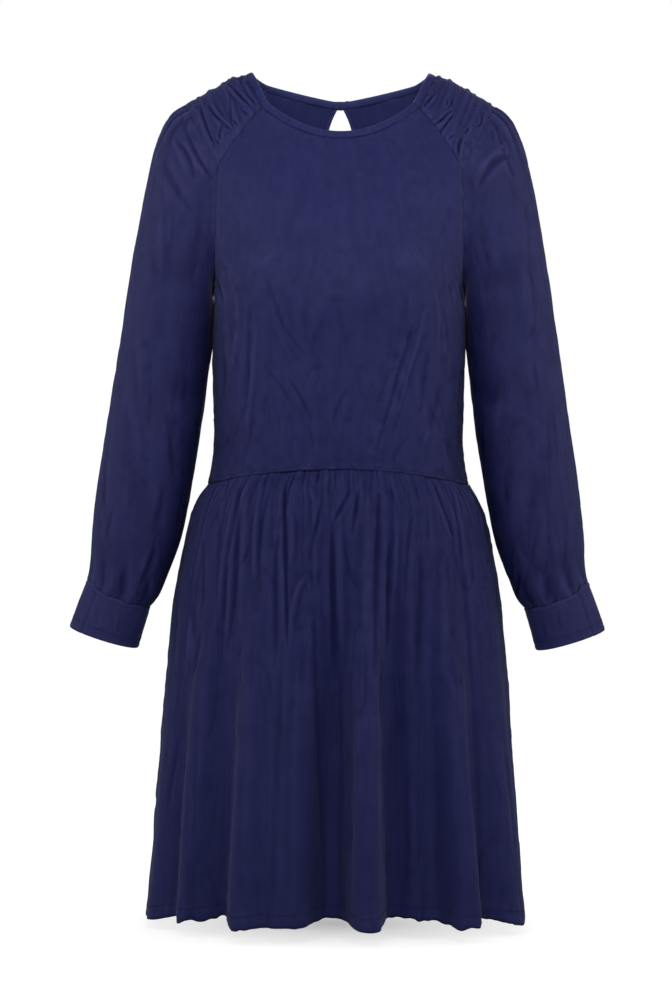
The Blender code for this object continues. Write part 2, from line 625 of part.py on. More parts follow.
def make_keyhole(back, materials, collection, guides):
    """Cuts the keyhole and its slit out of the back panel, and binds its edge."""
    margin = KEYHOLE_BINDING + SEAM_GAP
    outline = [keyhole_offset(step / KEYHOLE_CUT_STEPS, margin) for step in range(KEYHOLE_CUT_STEPS + 1)]
    above = KEYHOLE_TOP_Z + KEYHOLE_CUT_ABOVE
    outline = [Vector((outline[0].x, 0.0, above)), *outline, Vector((outline[-1].x, 0.0, above))]
    bm = bmesh.new()
    face = bm.faces.new([bm.verts.new((point.x, KEYHOLE_CUT_START_Y, point.z)) for point in outline])
    wall = bmesh.ops.extrude_face_region(bm, geom=[face])
    moved = [item for item in wall["geom"] if isinstance(item, bmesh.types.BMVert)]
    bmesh.ops.translate(bm, verts=moved, vec=(0.0, KEYHOLE_CUT_DEPTH, 0.0))
    bmesh.ops.recalc_face_normals(bm, faces=bm.faces)
    cutter = add_object("keyhole_cutter", bm, materials["jersey"], guides)
    cutter.hide_render = True
    cutter.display_type = "WIRE"
    cut = back.modifiers.new("keyhole", "BOOLEAN")
    cut.operation = "DIFFERENCE"
    cut.solver = "EXACT"
    cut.object = cutter

    def binding(a, b):
        return keyhole_binding_point(shrunk(a, KEYHOLE_GAP_SHARE), 1.0 - b)

    cloth = materials["binding"]
    counts = (KEYHOLE_COLUMNS, 1)
    cloth_piece("keyhole_binding", counts, binding, BINDING_CLOTH, cloth, collection, sunk=BINDING_SUNK)


def make_yokes(materials, collection):
    def yoke(a, b):
        return yoke_point(shrunk(a, YOKE_END_GAP_SHARE), 2.0 * shrunk(b, YOKE_SEAM_GAP_SHARE) - 1.0)

    cloth = materials["jersey"]
    for name, mirrored in (("shoulder_yoke_left", False), ("shoulder_yoke_right", True)):
        cloth_piece(name, (YOKE_COLUMNS, YOKE_ROWS), yoke, CLOTH, cloth, collection, mirrored=mirrored)


def make_sleeves(materials, collection):
    def sleeve(a, b):
        return sleeve_point(a, shrunk(b, SLEEVE_GAP_SHARE))

    cloth = materials["jersey"]
    for name, mirrored in (("sleeve_left", False), ("sleeve_right", True)):
        cloth_piece(name, (SLEEVE_COLUMNS, SLEEVE_ROWS), sleeve, CLOTH, cloth, collection, True, mirrored)
    for name, mirrored in (("cuff_left", False), ("cuff_right", True)):
        cloth_piece(name, (CUFF_COLUMNS, CUFF_ROWS), cuff_point, CUFF_CLOTH, cloth, collection, True, mirrored)


def make_skirt(materials, collection):
    gap_share = SEAM_GAP / (WAIST_SIDE_Z - HEM_SIDE_Z)

    def front(a, b):
        return front_skirt_point(2.0 * shrunk(a, PANEL_GAP_SHARE) - 1.0, 1.0 - (1.0 - gap_share) * b)

    def back(a, b):
        return back_skirt_point(2.0 * shrunk(a, PANEL_GAP_SHARE) - 1.0, 1.0 - (1.0 - gap_share) * b)

    cloth = materials["jersey"]
    cloth_piece("front_skirt", (SKIRT_COLUMNS, SKIRT_ROWS), front, CLOTH, cloth, collection)
    cloth_piece("back_skirt", (SKIRT_COLUMNS, SKIRT_ROWS), back, CLOTH, cloth, collection)


def make_neck_binding(materials, collection):
    cloth = materials["binding"]
    counts = (2 * BINDING_COLUMNS, 1)
    edge = neck_binding_point
    cloth_piece("neck_binding", counts, edge, BINDING_CLOTH, cloth, collection, sunk=BINDING_SUNK)


def make_closure(materials, collection):
    """A small round button on the neck binding's left end, and a loop from its right end round the shank."""
    middle = neck_binding_point(0.995, 0.6)
    face_y = middle.y + (1.0 - BINDING_SUNK) / 2 * BINDING_CLOTH + SEAM_GAP
    loop_y = face_y + LOOP_CORD / 2 + 2 * SEAM_GAP
    profile = (
        (0.0, SHANK_LENGTH + BUTTON_HEAD),
        (0.55 * BUTTON_RADIUS, SHANK_LENGTH + 0.95 * BUTTON_HEAD),
        (0.88 * BUTTON_RADIUS, SHANK_LENGTH + 0.72 * BUTTON_HEAD),
        (BUTTON_RADIUS, SHANK_LENGTH + 0.35 * BUTTON_HEAD),
        (0.92 * BUTTON_RADIUS, SHANK_LENGTH),
        (SHANK_RADIUS, SHANK_LENGTH),
        (SHANK_RADIUS, 0.0),
        (0.0, 0.0),
    )
    bm = bmesh.new()
    points = [bm.verts.new((radius, 0.0, height)) for radius, height in profile]
    for start, end in zip(points, points[1:]):
        bm.edges.new((start, end))
    button = add_object("button", bm, materials["button"], collection)
    turned = button.modifiers.new("turned", "SCREW")
    turned.steps = BUTTON_STEPS
    turned.render_steps = BUTTON_STEPS
    turned.use_merge_vertices = True
    turned.merge_threshold = 0.00005
    button.location = (BUTTON_X, face_y, middle.z)
    button.rotation_euler = (math.radians(-90.0), 0.0, 0.0)

    cord = bpy.data.curves.new("button_loop", "CURVE")
    cord.dimensions = "3D"
    cord.bevel_depth = LOOP_CORD / 2
    cord.bevel_resolution = 2
    cord.use_fill_caps = True
    strand = SHANK_RADIUS + LOOP_CORD / 2 + SEAM_GAP
    turns = [math.radians(90.0 - 180.0 * step / LOOP_STEPS) for step in range(LOOP_STEPS + 1)]
    path = [(LOOP_END_X, strand), (LOOP_END_X / 3, strand)]
    path += [(BUTTON_X + strand * math.cos(turn), strand * math.sin(turn)) for turn in turns]
    path += [(LOOP_END_X / 3, -strand), (LOOP_END_X, -strand)]
    line = cord.splines.new("POLY")
    line.points.add(len(path) - 1)
    for point, (x, z) in zip(line.points, path):
        point.co = (x, loop_y, middle.z + z, 1.0)
    cord.materials.append(materials["binding"])
    collection.objects.link(bpy.data.objects.new("button_loop", cord))


def main():
    for item in list(bpy.data.objects):
        bpy.data.objects.remove(item, do_unlink=True)
    collection = bpy.data.collections.new("dress")
    guides = bpy.data.collections.new("guides")
    bpy.context.scene.collection.children.link(collection)
    bpy.context.scene.collection.children.link(guides)
    materials = {
        "jersey": cloth_material("jersey", NAVY, 0.78),
        "binding": cloth_material("binding", NAVY_DARK, 0.72),
        "button": cloth_material("button", NAVY_DARK, 0.35),
    }
    back = make_bodice(materials, collection)
    make_keyhole(back, materials, collection, guides)
    make_yokes(materials, collection)
    make_sleeves(materials, collection)
    make_skirt(materials, collection)
    make_neck_binding(materials, collection)
    make_closure(materials, collection)


main()
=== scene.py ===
import math
from collections import defaultdict

import bpy
import numpy as np
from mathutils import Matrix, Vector


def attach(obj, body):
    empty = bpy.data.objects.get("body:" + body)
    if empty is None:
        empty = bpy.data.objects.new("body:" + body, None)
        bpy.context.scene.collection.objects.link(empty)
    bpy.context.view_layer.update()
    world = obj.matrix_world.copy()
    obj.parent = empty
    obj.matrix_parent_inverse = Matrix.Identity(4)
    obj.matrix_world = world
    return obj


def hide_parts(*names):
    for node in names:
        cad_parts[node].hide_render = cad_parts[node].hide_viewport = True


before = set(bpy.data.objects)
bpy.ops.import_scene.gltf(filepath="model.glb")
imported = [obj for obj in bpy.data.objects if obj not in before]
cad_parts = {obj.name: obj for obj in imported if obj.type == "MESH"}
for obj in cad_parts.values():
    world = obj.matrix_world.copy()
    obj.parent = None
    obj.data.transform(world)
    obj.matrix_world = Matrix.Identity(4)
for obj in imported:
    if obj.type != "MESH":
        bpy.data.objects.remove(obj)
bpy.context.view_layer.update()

MM = 0.001

# ---------------------------------------------------------------- values repeated from part.py
CLOTH = 0.0012
CUFF_CLOTH = 0.0018
BINDING_CLOTH = 0.0022
SEAM_GAP = 0.0004
SIDE_Y = 0.002
WAIST_SIDE_Z = -0.453
WAIST_FRONT_RISE = 0.0155
WAIST_BACK_RISE = 0.004
HEM_SIDE_Z = -0.928
HEM_FRONT_RISE = 0.013
HEM_BACK_RISE = 0.010
HEM_SQUARENESS = 8.0
HEM_FOLD_DROP = 0.14
BINDING_WIDTH = 0.006
NECK_SLIT = 0.005
KEYHOLE_TOP_Z = -0.029
KEYHOLE_BOTTOM_Z = -0.1005
KEYHOLE_SWELL = 0.015
KEYHOLE_BINDING = 0.0048
BUTTON_RADIUS = 0.0045
BUTTON_HEAD = 0.0024
BUTTON_X = 0.0078
SHANK_RADIUS = 0.0014
SHANK_LENGTH = 0.0028
LOOP_CORD = 0.0014
LOOP_END_X = -0.0075
# The seams of the bodice: share along, x, y, z.
SIDE_SEAM = (
    (0.0, 0.143, SIDE_Y, WAIST_SIDE_Z), (0.18, 0.1372, SIDE_Y, -0.415), (0.45, 0.1378, SIDE_Y, -0.356),
    (0.72, 0.1386, SIDE_Y, -0.3), (0.88, 0.138, SIDE_Y, -0.265), (1.0, 0.137, SIDE_Y, -0.24),
)
FRONT_ARMHOLE = (
    (0.0, 0.137, SIDE_Y, -0.24), (0.22, 0.1352, -0.034, -0.231), (0.45, 0.1338, -0.059, -0.203),
    (0.72, 0.1328, -0.074, -0.16), (1.0, 0.132, -0.08, -0.115),
)
BACK_ARMHOLE = (
    (0.0, 0.137, SIDE_Y, -0.24), (0.22, 0.1355, 0.042, -0.232), (0.45, 0.1345, 0.07, -0.204),
    (0.72, 0.1342, 0.085, -0.162), (1.0, 0.134, 0.089, -0.118),
)
FRONT_RAGLAN = (
    (0.0, 0.132, -0.08, -0.115), (0.33, 0.1211, -0.0752, -0.0948), (0.66, 0.1048, -0.0655, -0.07),
    (1.0, 0.0842, -0.0535, -0.0441),
)
BACK_RAGLAN = (
    (0.0, 0.134, 0.089, -0.118), (0.33, 0.123, 0.083, -0.083), (0.66, 0.106, 0.067, -0.045),
    (1.0, 0.0875, 0.047, -0.0105),
)
SHOULDER_RIDGE = (
    (0.0, 0.103, 0.003, -0.003), (0.28, 0.122, 0.003, -0.009), (0.5, 0.1365, 0.003, -0.018),
    (0.75, 0.154, 0.003, -0.0275), (1.0, 0.171, 0.002, -0.0365),
)
# The bodice's centre lines: share up, y, z, the section's turn in degrees, its power and its dip.
CENTRE_FRONT = (
    (0.0, -0.1, -0.4375, 90.0, 2.15, 2.0), (0.16, -0.1055, -0.38, 90.0, 2.15, 2.0),
    (0.32, -0.117, -0.321, 90.0, 2.25, 2.0), (0.48, -0.13, -0.263, 90.0, 2.35, 2.0),
    (0.6, -0.1265, -0.22, 72.0, 2.35, 2.0), (0.72, -0.113, -0.176, 64.0, 2.3, 2.0),
    (0.82, -0.0985, -0.14, 58.0, 2.25, 2.1), (0.92, -0.083, -0.105, 55.0, 2.2, 2.2),
    (1.0, -0.0715, -0.08, 52.0, 2.1, 2.05),
)
CENTRE_BACK = (
    (0.0, 0.096, -0.449, 90.0, 2.15, 2.0), (0.16, 0.091, -0.382, 90.0, 2.15, 2.0),
    (0.32, 0.095, -0.315, 90.0, 2.25, 2.0), (0.48, 0.1035, -0.247, 90.0, 2.4, 2.0),
    (0.6, 0.109, -0.197, 74.0, 2.4, 2.0), (0.72, 0.11, -0.146, 66.0, 2.35, 2.0),
    (0.82, 0.1045, -0.104, 60.0, 2.3, 1.8), (0.92, 0.089, -0.062, 56.0, 2.2, 1.4),
    (1.0, 0.07, -0.0285, 52.0, 2.1, 1.15),
)
SIDE_SEAM_END = 0.48
ARMHOLE_END = 0.80
BUST_X, BUST_Z, BUST_REACH, BUST_RISE = 0.074, -0.252, 0.060, 0.005
# Share down, half width, depth in front, depth behind.
SKIRT_RINGS = (
    (0.0, 0.143, 0.1015, 0.0945), (0.025, 0.152, 0.1075, 0.1065), (0.06, 0.16, 0.113, 0.115),
    (0.12, 0.1675, 0.118, 0.124), (0.25, 0.1785, 0.124, 0.136), (0.45, 0.1885, 0.13, 0.144),
    (0.7, 0.1965, 0.138, 0.15), (1.0, 0.208, 0.148, 0.158),
)
SKIRT_POWER = 2.15
# Place in degrees, half width in degrees, height, edge, share down where the fold starts.
FRONT_FOLDS = (
    (-72.0, 6.0, 0.005, 2.0, 0.3), (-59.0, 4.5, -0.01, 2.0, 0.25), (-48.0, 5.0, 0.012, 3.0, 0.16),
    (-35.5, 4.5, -0.014, 2.0, 0.3), (-26.0, 5.0, 0.026, 2.5, 0.12), (-13.5, 8.0, 0.015, 2.5, 0.16),
    (-1.0, 4.8, -0.03, 3.0, 0.12), (7.8, 5.2, 0.024, 4.0, 0.1), (17.0, 4.8, -0.026, 2.5, 0.04),
    (27.0, 6.0, -0.013, 2.0, 0.2), (38.0, 5.6, 0.026, 4.0, 0.22), (48.0, 4.0, -0.008, 2.0, 0.25),
    (62.0, 9.0, 0.017, 3.0, 0.3), (78.0, 4.0, -0.004, 2.0, 0.3),
)
BACK_FOLDS = (
    (-68.0, 7.0, 0.007, 2.0, 0.3), (-54.0, 5.0, -0.01, 2.0, 0.22), (-42.0, 6.0, 0.017, 3.0, 0.2),
    (-28.0, 5.0, -0.018, 2.0, 0.15), (-15.0, 6.5, 0.02, 3.0, 0.12), (-3.0, 4.5, -0.024, 2.0, 0.1),
    (9.0, 6.0, 0.02, 3.0, 0.15), (21.0, 5.0, -0.021, 2.0, 0.1), (33.0, 5.5, 0.017, 3.0, 0.18),
    (46.0, 6.0, -0.012, 2.0, 0.24), (59.0, 6.0, 0.011, 2.0, 0.26), (73.0, 5.0, -0.006, 2.0, 0.3),
)
# Share down, outermost x and z, innermost x and z, middle y, half depth.
SLEEVE_RINGS = (
    (0.0, 0.172, -0.0372, 0.1375, -0.2397, 0.002, 0.082),
    (0.05, 0.188, -0.0505, 0.1398, -0.248, 0.002, 0.0775),
    (0.12, 0.202, -0.08, 0.1386, -0.259, 0.001, 0.0715), (0.2, 0.2115, -0.12, 0.1382, -0.274, 0.0, 0.066),
    (0.3, 0.2217, -0.174, 0.1386, -0.298, -0.001, 0.06), (0.4, 0.2313, -0.233, 0.1424, -0.328, -0.002, 0.056),
    (0.5, 0.24, -0.293, 0.1468, -0.365, -0.003, 0.0535), (0.6, 0.2486, -0.35, 0.1518, -0.403, -0.004, 0.0515),
    (0.7, 0.2568, -0.406, 0.1577, -0.44, -0.006, 0.05), (0.8, 0.2646, -0.461, 0.1648, -0.48, -0.008, 0.048),
    (0.88, 0.2688, -0.502, 0.173, -0.517, -0.01, 0.045), (0.94, 0.2703, -0.533, 0.1855, -0.553, -0.012, 0.04),
    (0.98, 0.2715, -0.55, 0.1965, -0.5785, -0.014, 0.034),
    (1.0, 0.2733, -0.557, 0.204, -0.5855, -0.014, 0.0295),
)
CUFF_RINGS = (
    (0.0, 0.2733, -0.557, 0.204, -0.5855, -0.014, 0.0295),
    (0.5, 0.283, -0.583, 0.2105, -0.6085, -0.015, 0.0298),
    (1.0, 0.2925, -0.6085, 0.217, -0.632, -0.016, 0.03),
)
SLEEVE_POWER = 2.15
ARMHOLE_FADE = 0.30
# Shares round and down at the start and at the end, half width as a share, height.
SLEEVE_CREASES = (
    (0.33, 0.2, 0.17, 0.34, 0.035, -0.0024), (0.42, 0.46, 0.24, 0.56, 0.04, -0.0026),
    (0.4, 0.58, 0.2, 0.52, 0.035, 0.002), (0.14, 0.64, 0.3, 0.86, 0.035, -0.0022),
    (0.6, 0.42, 0.8, 0.55, 0.04, -0.0024), (0.88, 0.6, 0.7, 0.82, 0.04, -0.002),
    (0.7, 0.18, 0.86, 0.32, 0.035, -0.002),
)
CUFF_AXIS = np.array((0.38, 0.0, -0.925))
CUFF_FRONT_DROP = 0.0055
CUFF_STEP = 0.006
CUFF_STEP_TURN = 0.145
CUFF_LAP = 0.0008
YOKE_TURN = 66.0
NECK_FRONT_SHARE = 0.34
NECK_YOKE_SHARE = 0.33
NECK_HALF_LENGTH = 0.30

# ---------------------------------------------------------------- what the looks add
# Faces across and up the grids of the pieces that come in pairs.
YOKE_GRID = (112, 128)
SLEEVE_GRID = (168, 226)
CUFF_GRID = (176, 36)
# How wide the edges are that turn in at seams.
BODICE_TURN = 0.0011
SEAM_TURN = 0.0013
CUFF_TURN = 0.0010
HEM_TURN = 0.0012
# Stitch lines: shares up the bodice and down the cuff, and metres from the edge of the hem and of the cuff.
WAIST_STITCHES = 0.0105
CUFF_STITCHES = 0.79
HEM_DEPTH = 0.0140
CUFF_HEM = 0.0055
# The yoke's size outward, which its gathers' widths are measured by.
YOKE_LENGTH = 0.075
# Over the shoulder the yokes reach this much further than their seam lines, so that no light shows there.
YOKE_REACH = 1.010
# The sleeve's head lies this far under the yoke, and its end reaches this far into the cuff.
SLEEVE_UNDER_YOKE = 0.0011
SLEEVE_IN_CUFF = 0.0030
# The neck binding lies deeper over the edge than part.py's, and is wider and thicker, to hide raw edges.
BINDING_OVERLAP = 0.0008
BINDING_SUNK = 0.0005
BINDING_EXTRA_WIDTH = 0.0030
BINDING_EXTRA_CLOTH = 0.0009
# The height above the cloth round a point that makes 1 of painted shading: painted shade in valleys, painted
# light on crests.
SHADING_UNIT = 0.0006
# The least and the greatest painted shading that a mesh stores.
SHADING_RANGE = (-3.2, 5.0)
# The inner face's painted shading: it is painted lighter, for the light from the neck that it catches.
INNER_PAINTED_LIGHT = 3.6
# Points of the grid that are this near to the keyhole's outline move onto it.
HOLE_SNAP = 0.0016
# Painted light and shade on the front bodice: the painted highlight where each side of the bust faces the
# light, the painted light band under the bust and the painted shade band above the waist.
BUST_HIGHLIGHT_X, BUST_HIGHLIGHT_Z, BUST_HIGHLIGHT_REACH = 0.0765, -0.2135, 0.021
PAINTED_LIGHT_BAND_Z, PAINTED_LIGHT_BAND_REACH = -0.325, 0.040
PAINTED_SHADE_BAND_Z, PAINTED_SHADE_BAND_REACH = -0.425, 0.030

# Creases, in mm: x and z of the start, the middle and the end, half width, and height, which
# is below 0 for a trough.
FRONT_BODICE_CREASES = (
    (90, -270, 77, -328, 60, -387, 2.9, 1.3), (78, -285, 64, -334, 40, -417, 2.4, -1.6),
    (86, -304, 72, -351, 55, -406, 2.2, -1.3), (52, -333, 49, -345, 45, -358, 1.8, -0.9),
    (11, -349, 0, -369, -6, -388, 2.4, -1.1), (12, -367, 4, -381, -1, -407, 2.4, 0.6),
    (-77, -234, -68, -262, -54, -299, 2.4, -0.9), (-63, -279, -47, -303, -30, -322, 2.0, -0.8),
    (-67, -288, -58, -305, -48, -324, 2.0, 0.7), (-79, -328, -64, -347, -51, -366, 2.4, -1.0),
    (-53, -341, -40, -362, -29, -386, 2.0, -1.4), (-32, -390, -29, -402, -26, -417, 1.5, -0.9),
    (-25, -367, -25, -392, -23, -426, 2.0, 0.6), (-114, -241, -108, -286, -119, -337, 2.9, 1.0),
    (-95, -266, -96, -312, -97, -359, 3.7, -1.3), (-87, -287, -93, -342, -99, -410, 2.6, 0.9),
    (-128, -280, -123, -332, -128, -371, 2.2, -0.8), (99, -240, 105, -269, 105, -303, 2.2, 0.8),
    (110, -265, 115, -286, 117, -311, 2.0, -0.9), (116, -239, 120, -249, 121, -262, 1.5, -0.9),
    (129, -233, 133, -248, 137, -262, 1.5, -1.6), (125, -221, 127, -227, 129, -233, 1.3, 0.8),
    (95, -308, 91, -342, 87, -376, 3.7, -1.1), (109, -342, 105, -367, 99, -395, 3.1, -0.8),
    (119, -311, 117, -354, 113, -401, 3.3, 0.6), (97, -395, 93, -404, 89, -415, 2.4, 1.0),
    (72, -404, 63, -417, 57, -432, 2.6, -0.7), (-68, -370, -64, -385, -62, -402, 2.0, -0.6),
    (-56, -373, -51, -383, -49, -396, 1.8, -0.6), (-11, -421, -9, -430, -8, -436, 1.5, 0.6),
    (71, -339, 66, -356, 61, -375, 1.8, -0.8), (-133, -228, -128, -246, -124, -262, 1.6, -1.4),
    (-128, -212, -122, -226, -118, -240, 2.2, -0.7), (122, -150, 112, -176, 104, -196, 4.0, -0.5),
    (-120, -148, -110, -176, -100, -200, 4.5, -0.5),
)
BACK_BODICE_CREASES = (
    (70, -290, 50, -352, 22, -415, 3.2, -1.7), (84, -300, 66, -356, 44, -410, 2.6, 1.1),
    (-88, -265, -74, -340, -50, -420, 3.2, -1.6), (-100, -300, -92, -356, -80, -412, 2.6, 1.0),
    (100, -330, 105, -378, 106, -425, 3.0, 1.3), (-20, -370, -50, -380, -85, -400, 3.0, 1.1),
    (12, -386, 40, -396, 74, -392, 2.6, -1.0), (-6, -352, -30, -362, -60, -360, 2.4, -0.8),
    (118, -262, 110, -300, 112, -340, 2.6, -1.1), (-120, -250, -114, -296, -118, -338, 2.4, -1.1),
    (128, -226, 112, -240, 92, -248, 3.0, -1.0), (-127, -222, -108, -238, -90, -240, 3.0, -1.0),
    (88, -168, 98, -196, 104, -222, 3.6, -0.7), (-84, -172, -96, -200, -100, -226, 3.4, -0.6),
    (30, -404, 24, -420, 22, -436, 1.8, -0.8), (-34, -400, -30, -420, -30, -438, 1.8, -0.8),
    (4, -410, 2, -424, 2, -440, 1.6, 0.7), (62, -408, 58, -424, 56, -440, 2.0, 0.7),
    (-116, -380, -100, -404, -92, -432, 2.2, -0.9), (26, -300, 34, -330, 30, -356, 3.0, 0.6),
    (-22, -250, -16, -290, -20, -326, 4.0, -0.5),
)
FRONT_SKIRT_CREASES = (
    (-118, -450, -120, -462, -124, -473, 1.9, -0.8), (-106, -457, -108, -539, -115, -629, 2.8, -1.6),
    (-97, -457, -101, -539, -104, -629, 3.6, 1.4), (-79, -457, -87, -491, -88, -552, 1.9, 1.5),
    (-73, -462, -82, -507, -83, -565, 2.5, -1.2), (-56, -451, -56, -507, -52, -623, 1.9, -2.2),
    (-49, -488, -48, -515, -50, -541, 2.2, 1.6), (-34, -552, -45, -575, -50, -623, 2.2, 1.4),
    (-18, -473, -22, -494, -27, -517, 1.9, -1.2), (-6, -494, -5, -559, -2, -660, 3.0, -2.0),
    (2, -488, 3, -559, 6, -660, 3.9, 1.6), (13, -459, 5, -475, -4, -492, 1.6, -1.4),
    (23, -457, 18, -483, 15, -507, 1.9, -1.2), (32, -462, 30, -546, 28, -654, 3.9, 1.2),
    (43, -465, 42, -546, 40, -654, 3.3, -2.4), (54, -515, 53, -565, 53, -623, 2.2, -1.4),
    (60, -462, 61, -520, 59, -575, 2.8, 1.2), (78, -488, 74, -517, 71, -576, 2.2, -1.0),
    (94, -480, 95, -496, 95, -512, 1.6, -0.8), (104, -452, 111, -473, 123, -507, 1.9, -2.0),
    (112, -457, 119, -475, 129, -502, 1.9, 1.0), (119, -491, 122, -504, 124, -520, 1.6, -1.0),
    (87, -533, 88, -586, 84, -660, 4.7, -1.6), (111, -534, 113, -587, 112, -661, 5.5, 1.2),
    (-145, -515, -144, -561, -147, -598, 2.2, -1.0), (-157, -599, -158, -626, -161, -658, 3.6, 1.8),
    (-147, -614, -151, -636, -155, -663, 2.5, -1.4), (-173, -562, -176, -616, -178, -659, 2.5, -1.2),
    (-118, -542, -121, -587, -123, -656, 3.6, -1.3), (-65, -528, -65, -576, -64, -655, 2.8, -1.2),
    (-94, -518, -98, -533, -104, -543, 1.4, -0.9), (-167, -720, -176, -764, -183, -808, 2.6, -2.0),
    (-162, -740, -162, -819, -161, -910, 3.8, 1.6), (-148, -716, -150, -775, -148, -829, 2.6, -1.6),
    (-151, -863, -141, -869, -128, -875, 1.6, -1.2), (-150, -869, -144, -862, -132, -864, 1.6, 1.0),
    (-150, -840, -141, -831, -132, -839, 1.6, -0.8), (-148, -874, -146, -888, -145, -896, 1.6, -0.8),
    (-59, -684, -60, -704, -63, -729, 2.3, -1.6), (-66, -785, -67, -804, -71, -824, 1.6, -0.8),
    (-74, -799, -77, -813, -77, -827, 1.6, 0.8), (-105, -876, -93, -889, -73, -899, 1.6, 1.2),
    (-101, -881, -88, -897, -71, -905, 1.6, -1.0), (-128, -788, -129, -816, -131, -839, 1.8, -0.7),
    (179, -727, 186, -780, 191, -835, 2.1, -1.4), (166, -760, 171, -775, 178, -790, 1.6, -1.0),
    (125, -757, 123, -776, 124, -801, 1.6, 0.8), (-149, -792, -153, -810, -154, -841, 1.6, 0.8),
    (-25, -600, -18, -745, -11, -889, 3.4, -1.9), (14, -650, 14, -770, 16, -897, 3.0, -1.5),
    (48, -640, 48, -765, 49, -889, 2.8, -2.0), (71, -750, 73, -820, 76, -889, 3.4, -1.2),
    (-104, -600, -101, -740, -100, -880, 3.0, -1.1), (-58, -620, -64, -760, -66, -890, 3.2, -1.3),
    (-40, -640, -44, -770, -42, -900, 3.0, 1.1), (100, -640, 104, -760, 106, -880, 3.0, -0.9),
    (134, -560, 146, -700, 152, -880, 3.0, -1.1),
)
BACK_SKIRT_CREASES = (
    (112, -456, 116, -530, 120, -616, 2.8, -1.6), (98, -460, 100, -540, 104, -622, 3.4, 1.3),
    (80, -456, 84, -498, 84, -560, 2.0, 1.4), (68, -458, 70, -520, 74, -600, 2.3, -1.5),
    (52, -458, 52, -520, 48, -640, 2.2, -2.0), (44, -480, 42, -522, 44, -560, 2.4, 1.4),
    (26, -462, 24, -510, 30, -566, 2.0, -1.2), (8, -464, 6, -560, 4, -660, 3.2, -1.9),
    (-4, -462, -4, -560, -8, -670, 3.8, 1.5), (-20, -460, -24, -500, -22, -540, 2.0, -1.3),
    (-38, -462, -36, -560, -40, -664, 3.4, -1.8), (-50, -462, -50, -520, -54, -590, 3.0, 1.2),
    (-66, -460, -72, -520, -70, -606, 2.2, -1.5), (-84, -462, -86, -500, -92, -548, 2.0, 1.2),
    (-98, -458, -104, -520, -110, -600, 2.6, -1.7), (-120, -458, -128, -490, -136, -530, 2.2, -1.2),
    (132, -470, 140, -510, 146, -560, 2.4, -1.1), (150, -600, 156, -650, 160, -706, 3.2, 1.4),
    (-150, -610, -154, -660, -160, -720, 3.2, -1.4), (170, -720, 176, -780, 182, -846, 2.6, -1.6),
    (-172, -700, -178, -770, -186, -840, 2.8, 1.4), (90, -700, 94, -770, 96, -846, 3.2, -1.1),
    (-84, -720, -90, -790, -92, -860, 3.2, 1.1), (30, -760, 34, -820, 32, -880, 2.6, -0.9),
    (-30, -740, -34, -800, -30, -860, 2.6, -0.9), (120, -874, 108, -884, 92, -890, 1.6, -1.0),
    (-130, -866, -118, -880, -100, -886, 1.6, 1.0),
)
# These have a set for each side.
YOKE_CREASES = {
    -1: (
        (-142, -43, -134, -57, -117, -73, 1.5, -2.0), (-137, -44, -129, -58, -115, -72, 1.4, 1.0),
        (-151, -45, -146, -63, -138, -84, 1.6, -1.5), (-119, -33, -118, -50, -118, -66, 1.4, -0.9),
        (-121, -19, -107, -35, -96, -47, 1.5, -1.8), (-124, -19, -114, -33, -103, -45, 1.5, 1.1),
        (-101, -32, -95, -39, -90, -45, 1.3, -1.1), (-109, -14, -108, -17, -107, -20, 1.3, -0.9),
        (-108, -47, -104, -52, -100, -55, 1.3, -1.1), (-127, -67, -129, -76, -129, -84, 1.4, -1.4),
        (-133, -84, -131, -87, -129, -89, 1.3, -1.1), (-141, -77, -139, -81, -136, -87, 1.3, -0.9),
        (-115, -61, -113, -65, -110, -68, 1.3, -1.0), (-103, -20, -100, -27, -96, -35, 1.4, 0.8),
        (-113, -54, -112, -59, -110, -63, 1.3, 0.8),
    ),
    1: (
        (120, -49, 111, -58, 102, -66, 1.5, -2.3), (121, -54, 115, -64, 105, -80, 1.5, -1.9),
        (114, -51, 108, -59, 100, -62, 1.3, 1.1), (119, -60, 113, -69, 108, -77, 1.3, 1.0),
        (102, -30, 96, -37, 90, -45, 1.5, -1.8), (104, -31, 99, -38, 93, -45, 1.4, 0.9),
        (115, -35, 115, -39, 114, -43, 1.3, -1.0), (121, -35, 120, -39, 120, -44, 1.3, -1.0),
        (138, -68, 136, -72, 134, -76, 1.4, -1.5), (131, -79, 127, -91, 126, -103, 1.4, -1.6),
        (125, -80, 124, -91, 125, -102, 1.3, 1.0), (133, -82, 130, -92, 129, -102, 1.3, 0.9),
        (151, -51, 153, -57, 149, -67, 1.4, -1.0), (122, -77, 119, -79, 116, -83, 1.3, -1.0),
        (98, -65, 97, -71, 100, -79, 1.3, -0.9), (115, -83, 116, -88, 119, -93, 1.3, -0.8),
        (131, -82, 135, -89, 138, -90, 1.3, -0.8), (73, -54, 77, -54, 81, -58, 1.3, -0.8),
        (82, -60, 88, -61, 93, -57, 1.3, -0.8),
    ),
}
